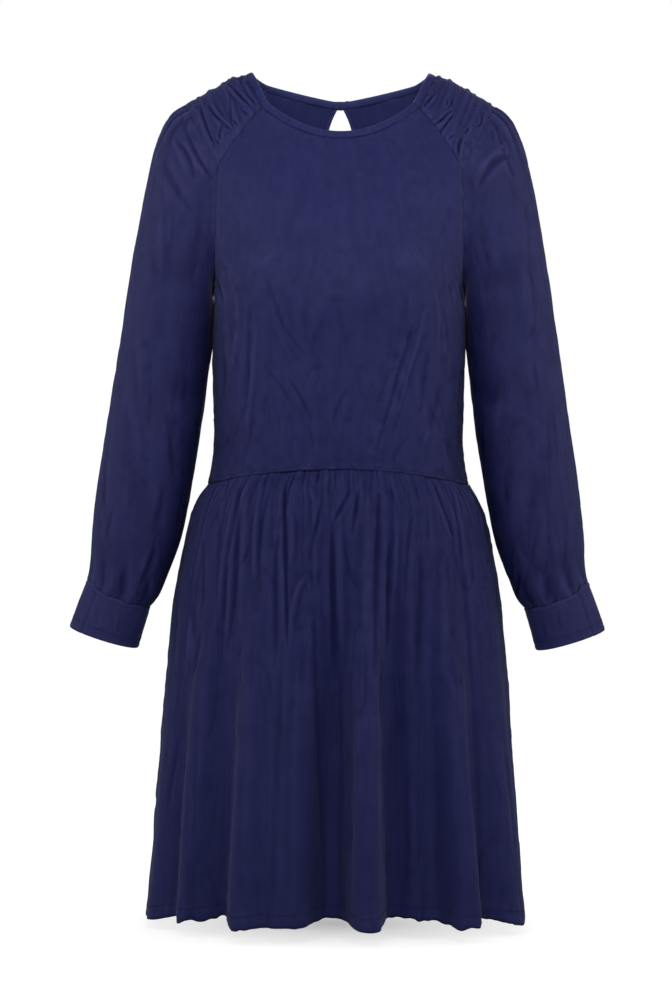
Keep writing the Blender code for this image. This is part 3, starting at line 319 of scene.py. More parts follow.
SLEEVE_FRONT_CREASES = {
    -1: (
        (-165, -60, -168, -67, -170, -74, 1.5, -1.3), (-170, -56, -172, -59, -173, -62, 1.3, -0.9),
        (-176, -84, -164, -100, -156, -126, 1.8, -2.0), (-181, -82, -172, -100, -164, -123, 1.8, 1.2),
        (-167, -69, -155, -98, -137, -127, 1.8, -2.0), (-157, -98, -152, -113, -142, -127, 1.6, 1.0),
        (-161, -55, -159, -59, -158, -62, 1.3, -1.0), (-168, -51, -171, -55, -173, -58, 1.3, -0.8),
        (-184, -378, -181, -418, -178, -448, 2.4, -1.0), (-210, -378, -210, -408, -208, -443, 2.4, -0.6),
        (-198, -522, -204, -542, -214, -563, 2.3, -2.4), (-232, -547, -233, -562, -233, -577, 1.7, -1.4),
        (-201, -554, -202, -567, -204, -579, 1.8, 1.2), (-252, -408, -254, -457, -251, -492, 3.0, -1.0),
        (-243, -482, -248, -500, -250, -517, 2.0, -0.8), (-223, -532, -224, -554, -225, -577, 1.8, 0.9),
        (-215, -564, -216, -572, -217, -580, 1.5, -1.1), (-243, -554, -243, -564, -243, -573, 1.5, 0.7),
        (-189, -458, -193, -482, -200, -507, 3.3, -1.2), (-219, -289, -215, -319, -214, -351, 3.6, 0.8),
        (-190, -104, -181, -128, -160, -160, 4.0, -1.3), (-150, -150, -152, -190, -160, -230, 4.5, -0.9),
        (-196, -170, -192, -200, -194, -232, 4.0, 0.7),
    ),
    1: (
        (167, -60, 175, -83, 178, -93, 1.8, -1.9), (178, -93, 183, -107, 189, -121, 1.8, -1.5),
        (164, -67, 165, -73, 165, -78, 1.4, -1.1), (170, -65, 177, -82, 181, -94, 1.6, 1.1),
        (156, -99, 158, -101, 159, -101, 1.4, -0.9), (184, -97, 166, -106, 149, -134, 2.9, -2.3),
        (172, -91, 158, -102, 146, -121, 2.4, 1.1), (167, -98, 168, -99, 169, -101, 1.3, -0.7),
        (146, -87, 149, -90, 153, -91, 1.4, -0.9), (176, -82, 177, -77, 178, -73, 1.3, -0.8),
        (152, -418, 150, -443, 149, -465, 2.4, -1.0), (163, -527, 175, -549, 187, -573, 2.3, -2.4),
        (151, -482, 156, -507, 166, -527, 3.3, -1.2), (218, -487, 213, -515, 208, -542, 2.0, -0.8),
        (196, -549, 196, -562, 196, -575, 1.6, -1.2), (206, -554, 206, -567, 206, -577, 1.6, 0.8),
        (187, -569, 190, -571, 192, -575, 1.4, 1.2), (175, -344, 172, -373, 170, -408, 3.4, 0.7),
        (210, -319, 212, -334, 215, -351, 2.2, -0.8), (227, -505, 230, -522, 232, -542, 2.2, -0.8),
        (217, -542, 219, -554, 221, -567, 1.6, 0.7), (180, -443, 181, -458, 181, -472, 2.2, -0.7),
        (152, -160, 156, -196, 164, -228, 4.5, -0.8), (198, -210, 200, -240, 196, -270, 4.2, 0.6),
    ),
}
YOKE_BACK_CREASES = {
    -1: (
        (-112, -14, -116, -34, -120, -60, 1.6, -1.8), (-104, -12, -106, -26, -110, -44, 1.5, 1.0),
        (-126, -20, -130, -42, -132, -70, 1.7, -1.6), (-140, -30, -140, -54, -136, -84, 1.7, 1.1),
        (-150, -36, -148, -62, -142, -92, 1.6, -1.5), (-98, -12, -98, -18, -100, -28, 1.4, -1.1),
    ),
    1: (
        (108, -14, 110, -30, 114, -52, 1.6, -1.7), (118, -18, 122, -38, 124, -64, 1.6, 1.2),
        (132, -26, 134, -46, 132, -76, 1.6, -1.8), (146, -34, 144, -58, 138, -88, 1.7, -1.4),
        (154, -40, 152, -60, 148, -80, 1.5, 0.9), (98, -10, 99, -18, 102, -30, 1.4, -1.2),
    ),
}
SLEEVE_BACK_CREASES = {
    -1: (
        (-176, -60, -172, -86, -166, -112, 1.9, -1.8), (-184, -80, -176, -110, -172, -140, 2.2, 1.1),
        (-150, -120, -156, -160, -166, -206, 4.0, -1.4), (-200, -300, -188, -322, -166, -336, 4.0, -1.8),
        (-216, -326, -196, -350, -172, -366, 4.0, 1.4), (-224, -400, -206, -424, -184, -430, 3.4, -1.6),
        (-240, -470, -228, -500, -222, -530, 2.6, -1.3), (-208, -520, -214, -548, -220, -572, 2.2, 1.2),
        (-230, -548, -231, -562, -232, -576, 1.7, -1.2), (-248, -546, -248, -560, -249, -572, 1.6, 0.8),
    ),
    1: (
        (172, -58, 170, -84, 162, -110, 1.9, -1.6), (182, -76, 178, -104, 170, -136, 2.2, 1.2),
        (152, -130, 160, -168, 164, -214, 4.0, -1.3), (206, -290, 190, -316, 168, -326, 4.0, -1.7),
        (220, -318, 200, -346, 176, -356, 4.0, 1.3), (232, -388, 210, -416, 186, -420, 3.4, -1.5),
        (236, -466, 230, -500, 218, -528, 2.6, -1.4), (212, -516, 216, -546, 214, -570, 2.2, -1.2),
        (226, -546, 228, -560, 229, -574, 1.7, 1.0), (244, -544, 246, -558, 247, -570, 1.6, -0.9),
    ),
}
CUFF_CREASES = {
    -1: (
        (-262, -584, -261, -596, -260, -606, 1.8, -0.6), (-238, -592, -239, -604, -240, -616, 1.8, 0.5),
    ),
    1: (
        (240, -588, 240, -600, 242, -612, 1.8, -0.6), (222, -600, 224, -610, 226, -622, 1.8, -0.6),
    ),
}
# The yokes' gathers: the share out from the neck at the front seam, at the ridge and at the back seam, half
# width in mm and height in mm.
YOKE_GATHERS = {
    -1: (
        (0.08, 0.1, 0.11, 1.8, 0.8), (0.17, 0.2, 0.19, 2.6, 1.1), (0.27, 0.31, 0.3, 1.7, 0.6),
        (0.4, 0.39, 0.44, 3.0, 1.2), (0.5, 0.53, 0.51, 1.9, 0.7), (0.66, 0.62, 0.65, 3.2, 1.0),
        (0.74, 0.77, 0.78, 1.8, 0.6), (0.9, 0.88, 0.91, 2.5, 0.9),
    ),
    1: (
        (0.09, 0.08, 0.11, 2.2, 0.9), (0.19, 0.22, 0.18, 1.7, 0.7), (0.31, 0.29, 0.33, 3.1, 1.1),
        (0.42, 0.44, 0.4, 1.8, 0.6), (0.55, 0.53, 0.57, 2.9, 1.2), (0.64, 0.67, 0.63, 1.8, 0.7),
        (0.79, 0.76, 0.8, 3.0, 1.0), (0.9, 0.91, 0.89, 1.9, 0.6),
    ),
}
# The sleeves' gathers: place round the ring, half width there, height in mm, and how far they reach along it.
HEAD_GATHERS = (
    (-0.101, 0.007, -0.5, 0.07), (-0.083, 0.004, 0.9, 0.15), (-0.071, 0.0034, -1.2, 0.2),
    (-0.056, 0.006, 0.8, 0.08), (-0.043, 0.0032, -1.3, 0.13), (-0.034, 0.0038, 0.6, 0.05),
    (-0.02, 0.0052, 1.2, 0.21), (-0.008, 0.003, -1.2, 0.1), (0.002, 0.0045, 0.7, 0.06),
    (0.016, 0.0036, -1.0, 0.17), (0.028, 0.0055, 1.1, 0.22), (0.042, 0.0032, -0.9, 0.07),
    (0.051, 0.0036, 0.7, 0.11), (0.065, 0.0046, -1.3, 0.18), (0.079, 0.0062, 0.9, 0.09),
    (0.097, 0.005, -0.8, 0.12),
)
CUFF_GATHERS = (
    (0.03, 0.012, 1.0, 0.05), (0.075, 0.01, -1.0, 0.06), (0.115, 0.01, 1.1, 0.07), (0.165, 0.011, -1.3, 0.08),
    (0.205, 0.012, 1.2, 0.06), (0.255, 0.01, -1.1, 0.07), (0.3, 0.013, 1.3, 0.08), (0.36, 0.012, -1.2, 0.07),
    (0.42, 0.013, 1.0, 0.06), (0.5, 0.015, -1.0, 0.07), (0.57, 0.012, 1.1, 0.06), (0.63, 0.012, -1.2, 0.08),
    (0.7, 0.013, 1.2, 0.07), (0.77, 0.012, -1.1, 0.06), (0.84, 0.012, 1.0, 0.07), (0.91, 0.013, -1.0, 0.06),
)
# The skirt's gathers, large, middle and fine: how many, the seed's step, how many degrees the closest part
# spans, the least and the greatest depth in mm, and how far down they may reach.
WAIST_GATHERS = (
    (46, 0, 22.0, (0.35, 2.0), (0.08, 0.12, 0.18, 0.28, 0.42)),
    (70, 40, 30.0, (0.2, 0.75), (0.03, 0.05, 0.09, 0.20)),
    (128, 60, 40.0, (0.3, 1.05), (0.025, 0.040, 0.060, 0.10)),
)
# Fine wrinkles: the noise's cell, the seed's step, sharpness and depth.
SLEEVE_WRINKLES = (
    ((0.011, 0.014, 0.085), 5, 5.0, 0.00075), ((0.008, 0.010, 0.050), 6, 6.0, 0.00035),
    ((0.016, 0.016, 0.022), 7, 7.0, 0.00035),
)
SKIRT_WRINKLES = (
    ((0.011, 0.011, 0.10), 91, 5.0, 0.00065), ((0.020, 0.020, 0.16), 92, 8.0, 0.0009),
    ((0.012, 0.012, 0.024), 93, 7.0, 0.00035), ((0.007, 0.007, 0.050), 94, 6.0, 0.00035),
)


# ---------------------------------------------------------------- the form, as in part.py, for whole grids
def parts(points):
    """The columns of points or rows, one by one."""
    return np.moveaxis(points, -1, 0)


def read(rows, at):
    """The rows' other columns at places in their first column, on a smooth line through them."""
    rows = np.asarray(rows, float)
    places, heights = rows[:, 0], rows[:, 1:]
    index = np.arange(len(rows))
    before, after = np.maximum(index - 1, 0), np.minimum(index + 1, index[-1])
    slope = (heights[after] - heights[before]) / (places[after] - places[before])[:, None]
    at = np.clip(at, places[0], places[-1])
    low = np.clip(np.searchsorted(places, at, side="right") - 1, 0, index[-1] - 1)
    span = (places[low + 1] - places[low])[..., None]
    part = (at - places[low])[..., None] / span
    level = heights[low] + (heights[low + 1] - heights[low]) * (3 * part**2 - 2 * part**3)
    bend = slope[low] * (part**3 - 2 * part**2 + part) + slope[low + 1] * (part**3 - part**2)
    return level + bend * span


def ramp(value, start, end):
    """0 up to start and 1 from end on, with a soft change between."""
    part = np.clip((value - start) / (end - start), 0.0, 1.0)
    return part * part * (3.0 - 2.0 * part)


def bump(distance, width, edge=2.0):
    """1 at no distance, fading to nothing past the width; a greater edge gives a flatter top."""
    return np.exp(-(np.abs(distance / width) ** edge))


def power_of(value, power):
    return np.copysign(np.abs(value) ** (2.0 / power), value)


def unit(vectors):
    return vectors / np.maximum(np.linalg.norm(vectors, axis=-1, keepdims=True), 1e-12)


def side_line(share, armhole, raglan):
    """A panel's side, from the waist at 0: the side seam, the armhole, and the raglan seam up to the neck."""
    low = read(SIDE_SEAM, share / SIDE_SEAM_END)
    middle = read(armhole, (share - SIDE_SEAM_END) / (ARMHOLE_END - SIDE_SEAM_END))
    high = read(raglan, (share - ARMHOLE_END) / (1.0 - ARMHOLE_END))
    share = share[..., None]
    return np.where(share <= SIDE_SEAM_END, low, np.where(share <= ARMHOLE_END, middle, high))


def bodice_point(across, up, centre, armhole, raglan):
    """A panel's point: across is -1 and 1 at the sides, and up runs from the waist to the neck."""
    side_x, side_y, side_z = parts(side_line(up, armhole, raglan))
    centre_y, centre_z, turn, power, dip = parts(read(centre, up))
    turn = np.radians(np.minimum(turn, 90.0))
    angle = np.abs(across) * turn
    left = np.maximum(np.cos(turn), 0.0) ** (2.0 / power)
    out = np.sin(angle) ** (2.0 / power) / np.sin(turn) ** (2.0 / power)
    forward = (np.maximum(np.cos(angle), 0.0) ** (2.0 / power) - left) / (1.0 - left)
    y = side_y + (centre_y - side_y) * forward
    z = centre_z + (side_z - centre_z) * out**dip
    return np.stack((np.copysign(side_x * out, across), y, z), -1)


def front_bodice_point(across, up):
    point = bodice_point(across, up, CENTRE_FRONT, FRONT_ARMHOLE, FRONT_RAGLAN)
    away = np.hypot(np.abs(point[..., 0]) - BUST_X, point[..., 2] - BUST_Z)
    point[..., 1] -= BUST_RISE * bump(away, BUST_REACH)
    return point


def back_bodice_point(across, up):
    return bodice_point(-across, up, CENTRE_BACK, BACK_ARMHOLE, BACK_RAGLAN)


def yoke_base(out, over):
    """The left yoke: out from the neck to the armhole, over from -1 at the front seam to 1 at the back."""
    ridge = read(SHOULDER_RIDGE, out)
    seam = np.where((over < 0.0)[..., None], read(FRONT_RAGLAN, 1.0 - out), read(BACK_RAGLAN, 1.0 - out))
    turn = math.radians(YOKE_TURN)
    angle = np.abs(over) * turn
    level = np.sin(angle) / math.sin(turn)
    fall = (1.0 - np.cos(angle)) / (1.0 - math.cos(turn))
    return ridge + (seam - ridge) * np.stack((fall, level, fall), -1)


def spread(share):
    return share - 0.5 / (2.0 * math.pi) * np.sin(2.0 * math.pi * share)


# Twice the share of half the armhole loop that belongs to the yoke.
YOKE_LOOP_SHARE = 2.0 * spread(9 / 32)


def armhole_point(round_share):
    """The left armhole loop: 0 at the shoulder tip, 0.5 at the underarm, by way of the front."""
    front = round_share <= 0.5
    half = 2.0 * np.where(front, round_share, 1.0 - round_share)
    over = np.clip(half / YOKE_LOOP_SHARE, 0.0, 1.0)
    upper = yoke_base(np.ones_like(over), np.where(front, -over, over))
    down = 1.0 - (half - YOKE_LOOP_SHARE) / (1.0 - YOKE_LOOP_SHARE)
    lower = np.where(front[..., None], read(FRONT_ARMHOLE, down), read(BACK_ARMHOLE, down))
    return np.where((half <= YOKE_LOOP_SHARE)[..., None], upper, lower)


def ring_point(rings, round_share, down):
    """A point on a slanted oval ring: 0 is its outermost point, 0.25 its front, 0.5 its innermost point."""
    outer_x, outer_z, inner_x, inner_z, middle_y, half_depth = parts(read(rings, down))
    angle = 2.0 * math.pi * round_share
    reach, depth = power_of(np.cos(angle), SLEEVE_POWER), power_of(np.sin(angle), SLEEVE_POWER)
    x = (outer_x + inner_x) / 2 + (outer_x - inner_x) / 2 * reach
    z = (outer_z + inner_z) / 2 + (outer_z - inner_z) / 2 * reach
    return np.stack((x, middle_y - half_depth * depth, z), -1)


def cuff_seam_drop(round_share):
    """How far the cuff's seam lies below its ring: it steps down in front, where the cuff's end laps over."""
    share = np.mod(round_share, 1.0)
    behind = 0.4 * CUFF_FRONT_DROP * np.sin(2.0 * math.pi * (share - 0.5)) ** 2
    past_step = ramp(share, CUFF_STEP_TURN - 0.02, CUFF_STEP_TURN + 0.01)
    before = CUFF_STEP * past_step * (1.0 - ramp(share, 0.26, 0.5))
    return np.where(share > 0.5, behind, before)


def sleeve_base(round_share, down):
    ring = ring_point(SLEEVE_RINGS, round_share, down)
    ring[..., 2] -= ramp(down, 0.90, 1.0) * cuff_seam_drop(round_share)
    loop = armhole_point(np.mod(round_share, 1.0))
    first = ring_point(SLEEVE_RINGS, round_share, np.zeros_like(down))
    kept = 1.0 - ramp(down, 0.0, ARMHOLE_FADE)
    return ring + (loop - first) * kept[..., None]


def cuff_base(share, down):
    point = ring_point(CUFF_RINGS, share, down)
    turn = 2 * math.pi * share
    front_drop = 0.6 * CUFF_FRONT_DROP * down * np.maximum(0.0, np.sin(turn))
    point[..., 2] -= (1.0 - down) * cuff_seam_drop(share) + front_drop
    lapped = (1.0 - ramp(share, CUFF_STEP_TURN - 0.006, CUFF_STEP_TURN + 0.006)) * ramp(share, 0.0, 0.03)
    outward = np.stack((np.cos(turn), -np.sin(turn), np.zeros_like(share)), -1)
    return point + outward * (CUFF_LAP * lapped)[..., None] + CUFF_AXIS * SEAM_GAP * (1.0 - down)[..., None]


def skirt_angle(across):
    share = np.abs(across)
    return np.copysign(90.0 * (0.68 * share + 0.32 * share**2), across)


def skirt_base(across, down, side, folds, waist_rise, hem_rise):
    """A skirt panel's points, as in part.py but without its small gathers, and how far its folds rise."""
    half_width, front_depth, back_depth = parts(read(SKIRT_RINGS, down))
    depth = front_depth if side < 0.0 else back_depth
    degrees = skirt_angle(across)
    angle = np.radians(degrees)
    sin, cos = np.sin(angle), np.maximum(np.cos(angle), 0.0)
    x = half_width * power_of(sin, SKIRT_POWER)
    rise = np.zeros_like(x)
    for centre, width, height, edge, start in folds:
        rise += height * ramp(down, 0.5 * start, start + 0.75) * bump(degrees - centre, width, edge)
    rise *= ramp(90.0 - np.abs(degrees), 0.0, 14.0)
    length = np.hypot(sin * depth, cos * half_width)
    top = WAIST_SIDE_Z + waist_rise * (1.0 - (x / half_width) ** 2)
    bottom = HEM_SIDE_Z + hem_rise * (1.0 - np.abs(sin) ** HEM_SQUARENESS) - HEM_FOLD_DROP * rise
    y = side * (depth * cos ** (2.0 / SKIRT_POWER) + cos * half_width / length * rise) + SIDE_Y
    return np.stack((x + sin * depth / length * rise, y, top + (bottom - top) * down), -1), rise


def neck_edge(share):
    """The edge that the neck binding follows: 0 at the centre front, 1 or -1 at the centre back."""
    part = np.abs(share)
    front_end, yoke_end = NECK_FRONT_SHARE, NECK_FRONT_SHARE + NECK_YOKE_SHARE
    front = front_bodice_point(np.minimum(part / front_end, 1.0), np.ones_like(part))
    over = np.clip(2.0 * (part - front_end) / NECK_YOKE_SHARE - 1.0, -1.0, 1.0)
    yoke = yoke_base(np.zeros_like(part), over)
    back = back_bodice_point(-np.clip((1.0 - part) / (1.0 - yoke_end), 0.0, 1.0), np.ones_like(part))
    on_yoke = np.where((part < yoke_end)[..., None], yoke, back)
    point = np.where((part < front_end)[..., None], front, on_yoke)
    point[..., 0] = np.abs(point[..., 0]) * np.where(share >= 0.0, 1.0, -1.0)
    return point


def neck_lean(share):
    """The way across the neck binding, towards its free edge."""
    turn = math.pi * share
    lean = np.stack((-0.90 * np.sin(turn), 0.30 * np.cos(turn), np.zeros_like(turn)), -1)
    lean[..., 2] = np.sqrt(1.0 - (lean**2).sum(-1))
    return lean


def keyhole_outline(share):
    """The keyhole's edge in X and Z: down one side from 0, the foot at 0.5, and up the other side to 1."""
    side = np.where(share < 0.5, -1.0, 1.0)
    turn = math.pi * (1.0 - np.abs(2.0 * share - 1.0))
    swell = 1.263 * np.sin(turn) * np.sin(turn / 2) ** 0.8
    half_width = NECK_SLIT / 2 * (1.0 + np.cos(turn)) / 2 + KEYHOLE_SWELL * swell
    middle, half_height = (KEYHOLE_TOP_Z + KEYHOLE_BOTTOM_Z) / 2, (KEYHOLE_TOP_Z - KEYHOLE_BOTTOM_Z) / 2
    return np.stack((side * half_width, middle + half_height * np.cos(turn)), -1)


def keyhole_offset(share, distance):
    """The keyhole's edge, moved out into the cloth: sideways at the neck, and square to the edge below it."""
    before, after = np.maximum(share - 0.004, 0.0), np.minimum(share + 0.004, 1.0)
    along = unit(keyhole_outline(after) - keyhole_outline(before))
    outward = np.stack((along[..., 1], -along[..., 0]), -1)
    level = np.stack((np.where(share < 0.5, -1.0, 1.0), np.zeros_like(share)), -1)
    turned = ramp(np.minimum(share, 1.0 - share), 0.03, 0.16)[..., None]
    return keyhole_outline(share) + (level + (outward - level) * turned) * distance


# ---------------------------------------------------------------- folds, creases and noise
def creases(rows, points, strength=1.0, slim=1.0):
    """How far soft creases rise at points: each has a shallow swell beside it, and thins out at both ends."""
    places = points[..., (0, 2)]
    height = np.zeros(places.shape[:-1])
    turns = np.linspace(0.0, 1.0, 9)[:, None]
    for row in rows:
        start, middle, end = np.array(row[:6]).reshape(3, 2) * MM
        width, rise = row[6] * MM * slim, row[7] * MM * strength
        bend = 2.0 * middle - (start + end) / 2.0
        path = (1 - turns) ** 2 * start + 2 * turns * (1 - turns) * bend + turns**2 * end
        margin = 5.0 * width
        near = np.all((places > path.min(0) - margin) & (places < path.max(0) + margin), axis=-1)
        place = places[near]
        away, along = np.full(len(place), np.inf), np.zeros(len(place))
        for step, (spot, run) in enumerate(zip(path, np.diff(path, axis=0))):
            part = np.clip(((place - spot) @ run) / (run @ run), 0.0, 1.0)
            distance = np.linalg.norm(place - spot - part[:, None] * run, axis=1)
            closer = distance < away
            away[closer], along[closer] = distance[closer], (step + part[closer]) / 8.0
        body = np.sin(math.pi * (0.06 + 0.88 * along)) ** 0.8
        wide = width * (0.6 + 0.4 * body)
        height[near] += rise * body * (bump(away, wide) - 0.24 * bump(away - 2.4 * wide, 1.3 * wide))
    return height


def long_creases(rows, across, down):
    """part.py's soft sleeve folds, between places given as shares."""
    rise = np.zeros_like(across)
    for a, b, end_a, end_b, width, height in rows:
        run = np.array((end_a - a, end_b - b))
        along = np.clip(((across - a) * run[0] + (down - b) * run[1]) / (run @ run), 0.0, 1.0)
        aside = np.hypot(across - a - along * run[0], down - b - along * run[1])
        rise += height * bump(aside, width) * np.sin(math.pi * (0.12 + 0.76 * along))
    return rise


def noise(points, cell, seed):
    """Smooth seeded noise between -1 and 1; cell is one size or one for each axis."""
    table = np.random.default_rng(seed).uniform(-1.0, 1.0, 4096)
    place = points / np.asarray(cell, float)
    base = np.floor(place).astype(np.int64)
    part = place - base
    part = part**3 * (part * (part * 6.0 - 15.0) + 10.0)
    total = np.zeros(points.shape[:-1])
    for corner in np.ndindex(2, 2, 2):
        x, y, z = parts(base + corner)
        mixed = (x * 73856093) ^ (y * 19349663) ^ (z * 83492791)
        total += np.prod(np.where(corner, part, 1.0 - part), axis=-1) * table[mixed & 4095]
    return total


def wrinkles(points, cell, seed, sharp=5.0):
    """Thin wandering lines, from 0 to 1, where seeded noise changes sign; they come and go in patches."""
    line = (1.0 - np.minimum(np.abs(noise(points, cell, seed)) * 1.6, 1.0)) ** sharp
    return line * ramp(noise(points, np.asarray(cell) * 1.7, seed + 500), -0.25, 0.35)


def wrinkled(points, rows, seed):
    return sum(wrinkles(points, cell, seed + step, sharp) * depth for cell, step, sharp, depth in rows)


def ripples(points, seed, size=1.0):
    """Fine unevenness of cloth that hangs free: broad soft swells and small wrinkles."""
    layers = ((0.034, 0.00070), (0.011, 0.00026), (0.0045, 0.00008))
    return sum(noise(points, cell, seed + step) * height for step, (cell, height) in enumerate(layers)) * size


def puckers(points, distance, seed, reach=0.006, height=0.00030, cell=0.0042):
    """Small wrinkles that a seam draws into the cloth beside it."""
    return noise(points, cell, seed) * height * bump(distance, reach)


def rolled(distance, depth, width):
    """A seam edge turns in over its last millimetres."""
    return -depth * bump(distance, width)


def wander(points, distance):
    """A seam isn't drawn with a ruler: its edges move a little, the same way in the pieces on both sides."""
    layers = ((0.011, 131, 0.00085), (0.0045, 141, 0.00045))
    shift = [sum(noise(points, cell, seed + axis) * most for cell, seed, most in layers) for axis in range(3)]
    return points + np.stack(shift, -1) * bump(distance, 0.006)[..., None]


def eased(rows):
    """The rows between the first and the last, drawn towards their neighbours."""
    return 0.25 * rows[:-2] + 0.5 * rows[1:-1] + 0.25 * rows[2:]


def cavity_shading_of(rise, wrap=False, reach=24):
    """How far each point stands above the cloth round it, or below it, in units of painted shading: painted
    shade in valleys, painted light on crests.
    """
    level = rise.copy()
    for _ in range(reach):
        level[1:-1] = eased(level)
        if wrap:
            level = 0.25 * np.roll(level, 1, 1) + 0.5 * level + 0.25 * np.roll(level, -1, 1)
        else:
            level[:, 1:-1] = eased(level.T).T
    return np.clip((rise - level) / SHADING_UNIT, -1.5, 1.5)


# ---------------------------------------------------------------- grids
def shares(columns, rows):
    """Shares across and up for a grid of that many faces each way."""
    return np.meshgrid(np.linspace(0.0, 1.0, columns + 1), np.linspace(0.0, 1.0, rows + 1))


def shrunk(share, edge_share):
    return edge_share + (1.0 - 2.0 * edge_share) * share


def normals(points, wrap=False):
    """Unit normals of a grid of points: along the columns crossed with up the rows."""
    along = np.roll(points, -1, 1) - np.roll(points, 1, 1) if wrap else np.gradient(points, axis=1)
    return unit(np.cross(along, np.gradient(points, axis=0)))


def relaxed(points, times, wrap=False):
    """The grid with the kinks between its table rows eased; its edges stay."""
    points = points.copy()
    for _ in range(times):
        inner = points[1:-1]
        drawn = 0.125 * (points[:-2] + points[2:]) + 0.5 * inner
        if wrap:
            points[1:-1] = drawn + 0.125 * (np.roll(inner, 1, 1) + np.roll(inner, -1, 1))
        else:
            points[1:-1, 1:-1] = drawn[:, 1:-1] + 0.125 * (inner[:, :-2] + inner[:, 2:])
    return points


def walked(points, axis):
    """How far along an axis each point of a line or grid is from the first."""
    steps = np.linalg.norm(np.diff(points, axis=axis), axis=-1)
    return np.cumsum(np.concatenate((np.zeros_like(steps.take([0], axis)), steps), axis), axis)


def edge_distance(points):
    """How far each point is from the first row, from the last row, and from the nearer side."""
    rows, columns = walked(points, 0), walked(points, 1)
    return rows, rows[-1] - rows, np.minimum(columns, columns[:, -1:] - columns)


def at(points, across, up, wrap=False):
    """Points of a grid at shares across and up, between its own points."""
    rows, columns = points.shape[0] - 1, points.shape[1] - (not wrap)
    x, y = np.mod(across, 1.0) * columns if wrap else across * columns, up * rows
    c = np.minimum(np.floor(x).astype(int), columns - 1)
    r = np.minimum(np.floor(y).astype(int), rows - 1)
    right = (c + 1) % points.shape[1]
    u, v = (x - c)[..., None], (y - r)[..., None]
    low = points[r, c] * (1 - u) + points[r, right] * u
    high = points[r + 1, c] * (1 - u) + points[r + 1, right] * u
    return low * (1 - v) + high * v


def grid_faces(rows, columns, width, size):
    """The quads of a grid, row by row, and the UVs of their corners in metres of flat cloth."""
    r, c = np.meshgrid(np.arange(rows), np.arange(columns), indexing="ij")
    right = (c + 1) % width
    quads = np.stack((r * width + c, r * width + right, (r + 1) * width + right, (r + 1) * width + c), -1)
    corners = ((0, 0), (1, 0), (1, 1), (0, 1))
    uvs = [np.stack(((c + i) / columns * size[0], (r + j) / rows * size[1]), -1) for i, j in corners]
    return quads.reshape(-1, 4), np.stack(uvs, 2).reshape(-1, 4, 2)


# ---------------------------------------------------------------- meshes
def new_object(name, vertices, faces, material, uv=None, painted_shading=None):
    mesh = bpy.data.meshes.new(name)
    mesh.from_pydata(np.asarray(vertices).tolist(), [], [tuple(map(int, face)) for face in faces])
    if uv is not None:
        layer = mesh.uv_layers.new(name="cloth")
        layer.data.foreach_set("uv", uv.astype(np.float32).ravel())
    # The painted shading that the materials read: painted shade and painted light.
    if painted_shading is not None:
        layer = mesh.attributes.new("painted_shading", "FLOAT", "POINT")
        layer.data.foreach_set("value", np.clip(painted_shading, *SHADING_RANGE).astype(np.float32))
    mesh.shade_smooth()
    mesh.materials.append(material)
    mesh.validate()
    piece = bpy.data.objects.new(name, mesh)
    bpy.context.scene.collection.objects.link(piece)
    return piece


def inside(polygon, places):
    """Whether places lie inside a closed polygon, both in X and Z."""
    x, z = parts(places)
    found = np.zeros(x.shape, bool)
    for (ax, az), (bx, bz) in zip(polygon, np.roll(polygon, -1, 0)):
        if az != bz:
            found ^= ((az > z) != (bz > z)) & (x < (bx - ax) * (z - az) / (bz - az) + ax)
    return found


def nearest_on(polygon, place):
    run = np.roll(polygon, -1, 0) - polygon
    part = np.clip(((place - polygon) * run).sum(1) / np.maximum((run * run).sum(1), 1e-12), 0.0, 1.0)
    spots = polygon + part[:, None] * run
    return spots[np.argmin(np.linalg.norm(spots - place, axis=1))]


def border_edges(quads):
    """The edges that only one quad has, in that quad's order."""
    known = set(map(tuple, np.stack((quads, np.roll(quads, -1, 1)), -1).reshape(-1, 2).tolist()))
    return [(a, b) for a, b in known if (b, a) not in known]


def border_lines(index, wrap):
    """The numbers along each edge of a grid, all in the same turn."""
    if wrap:
        index = np.concatenate((index, index[:, :1]), 1)
    ends = [index[0], index[-1][::-1]]
    return ends if wrap else [*ends, index[::-1, 0], index[:, -1]]


def fitted_to_hole(points, quads, hole):
    """The points with those next to the hole moved onto its outline, and which quads are left."""
    flat = points.reshape(-1, 3)
    keep = ~inside(hole, flat[quads].mean(1)[:, (0, 2)])
    for a in {a for edge in border_edges(quads[keep]) for a in edge}:
        spot = nearest_on(hole, flat[a, (0, 2)])
        if np.linalg.norm(spot - flat[a, (0, 2)]) < HOLE_SNAP:
            flat[a, (0, 2)] = spot
    return flat.reshape(points.shape), keep


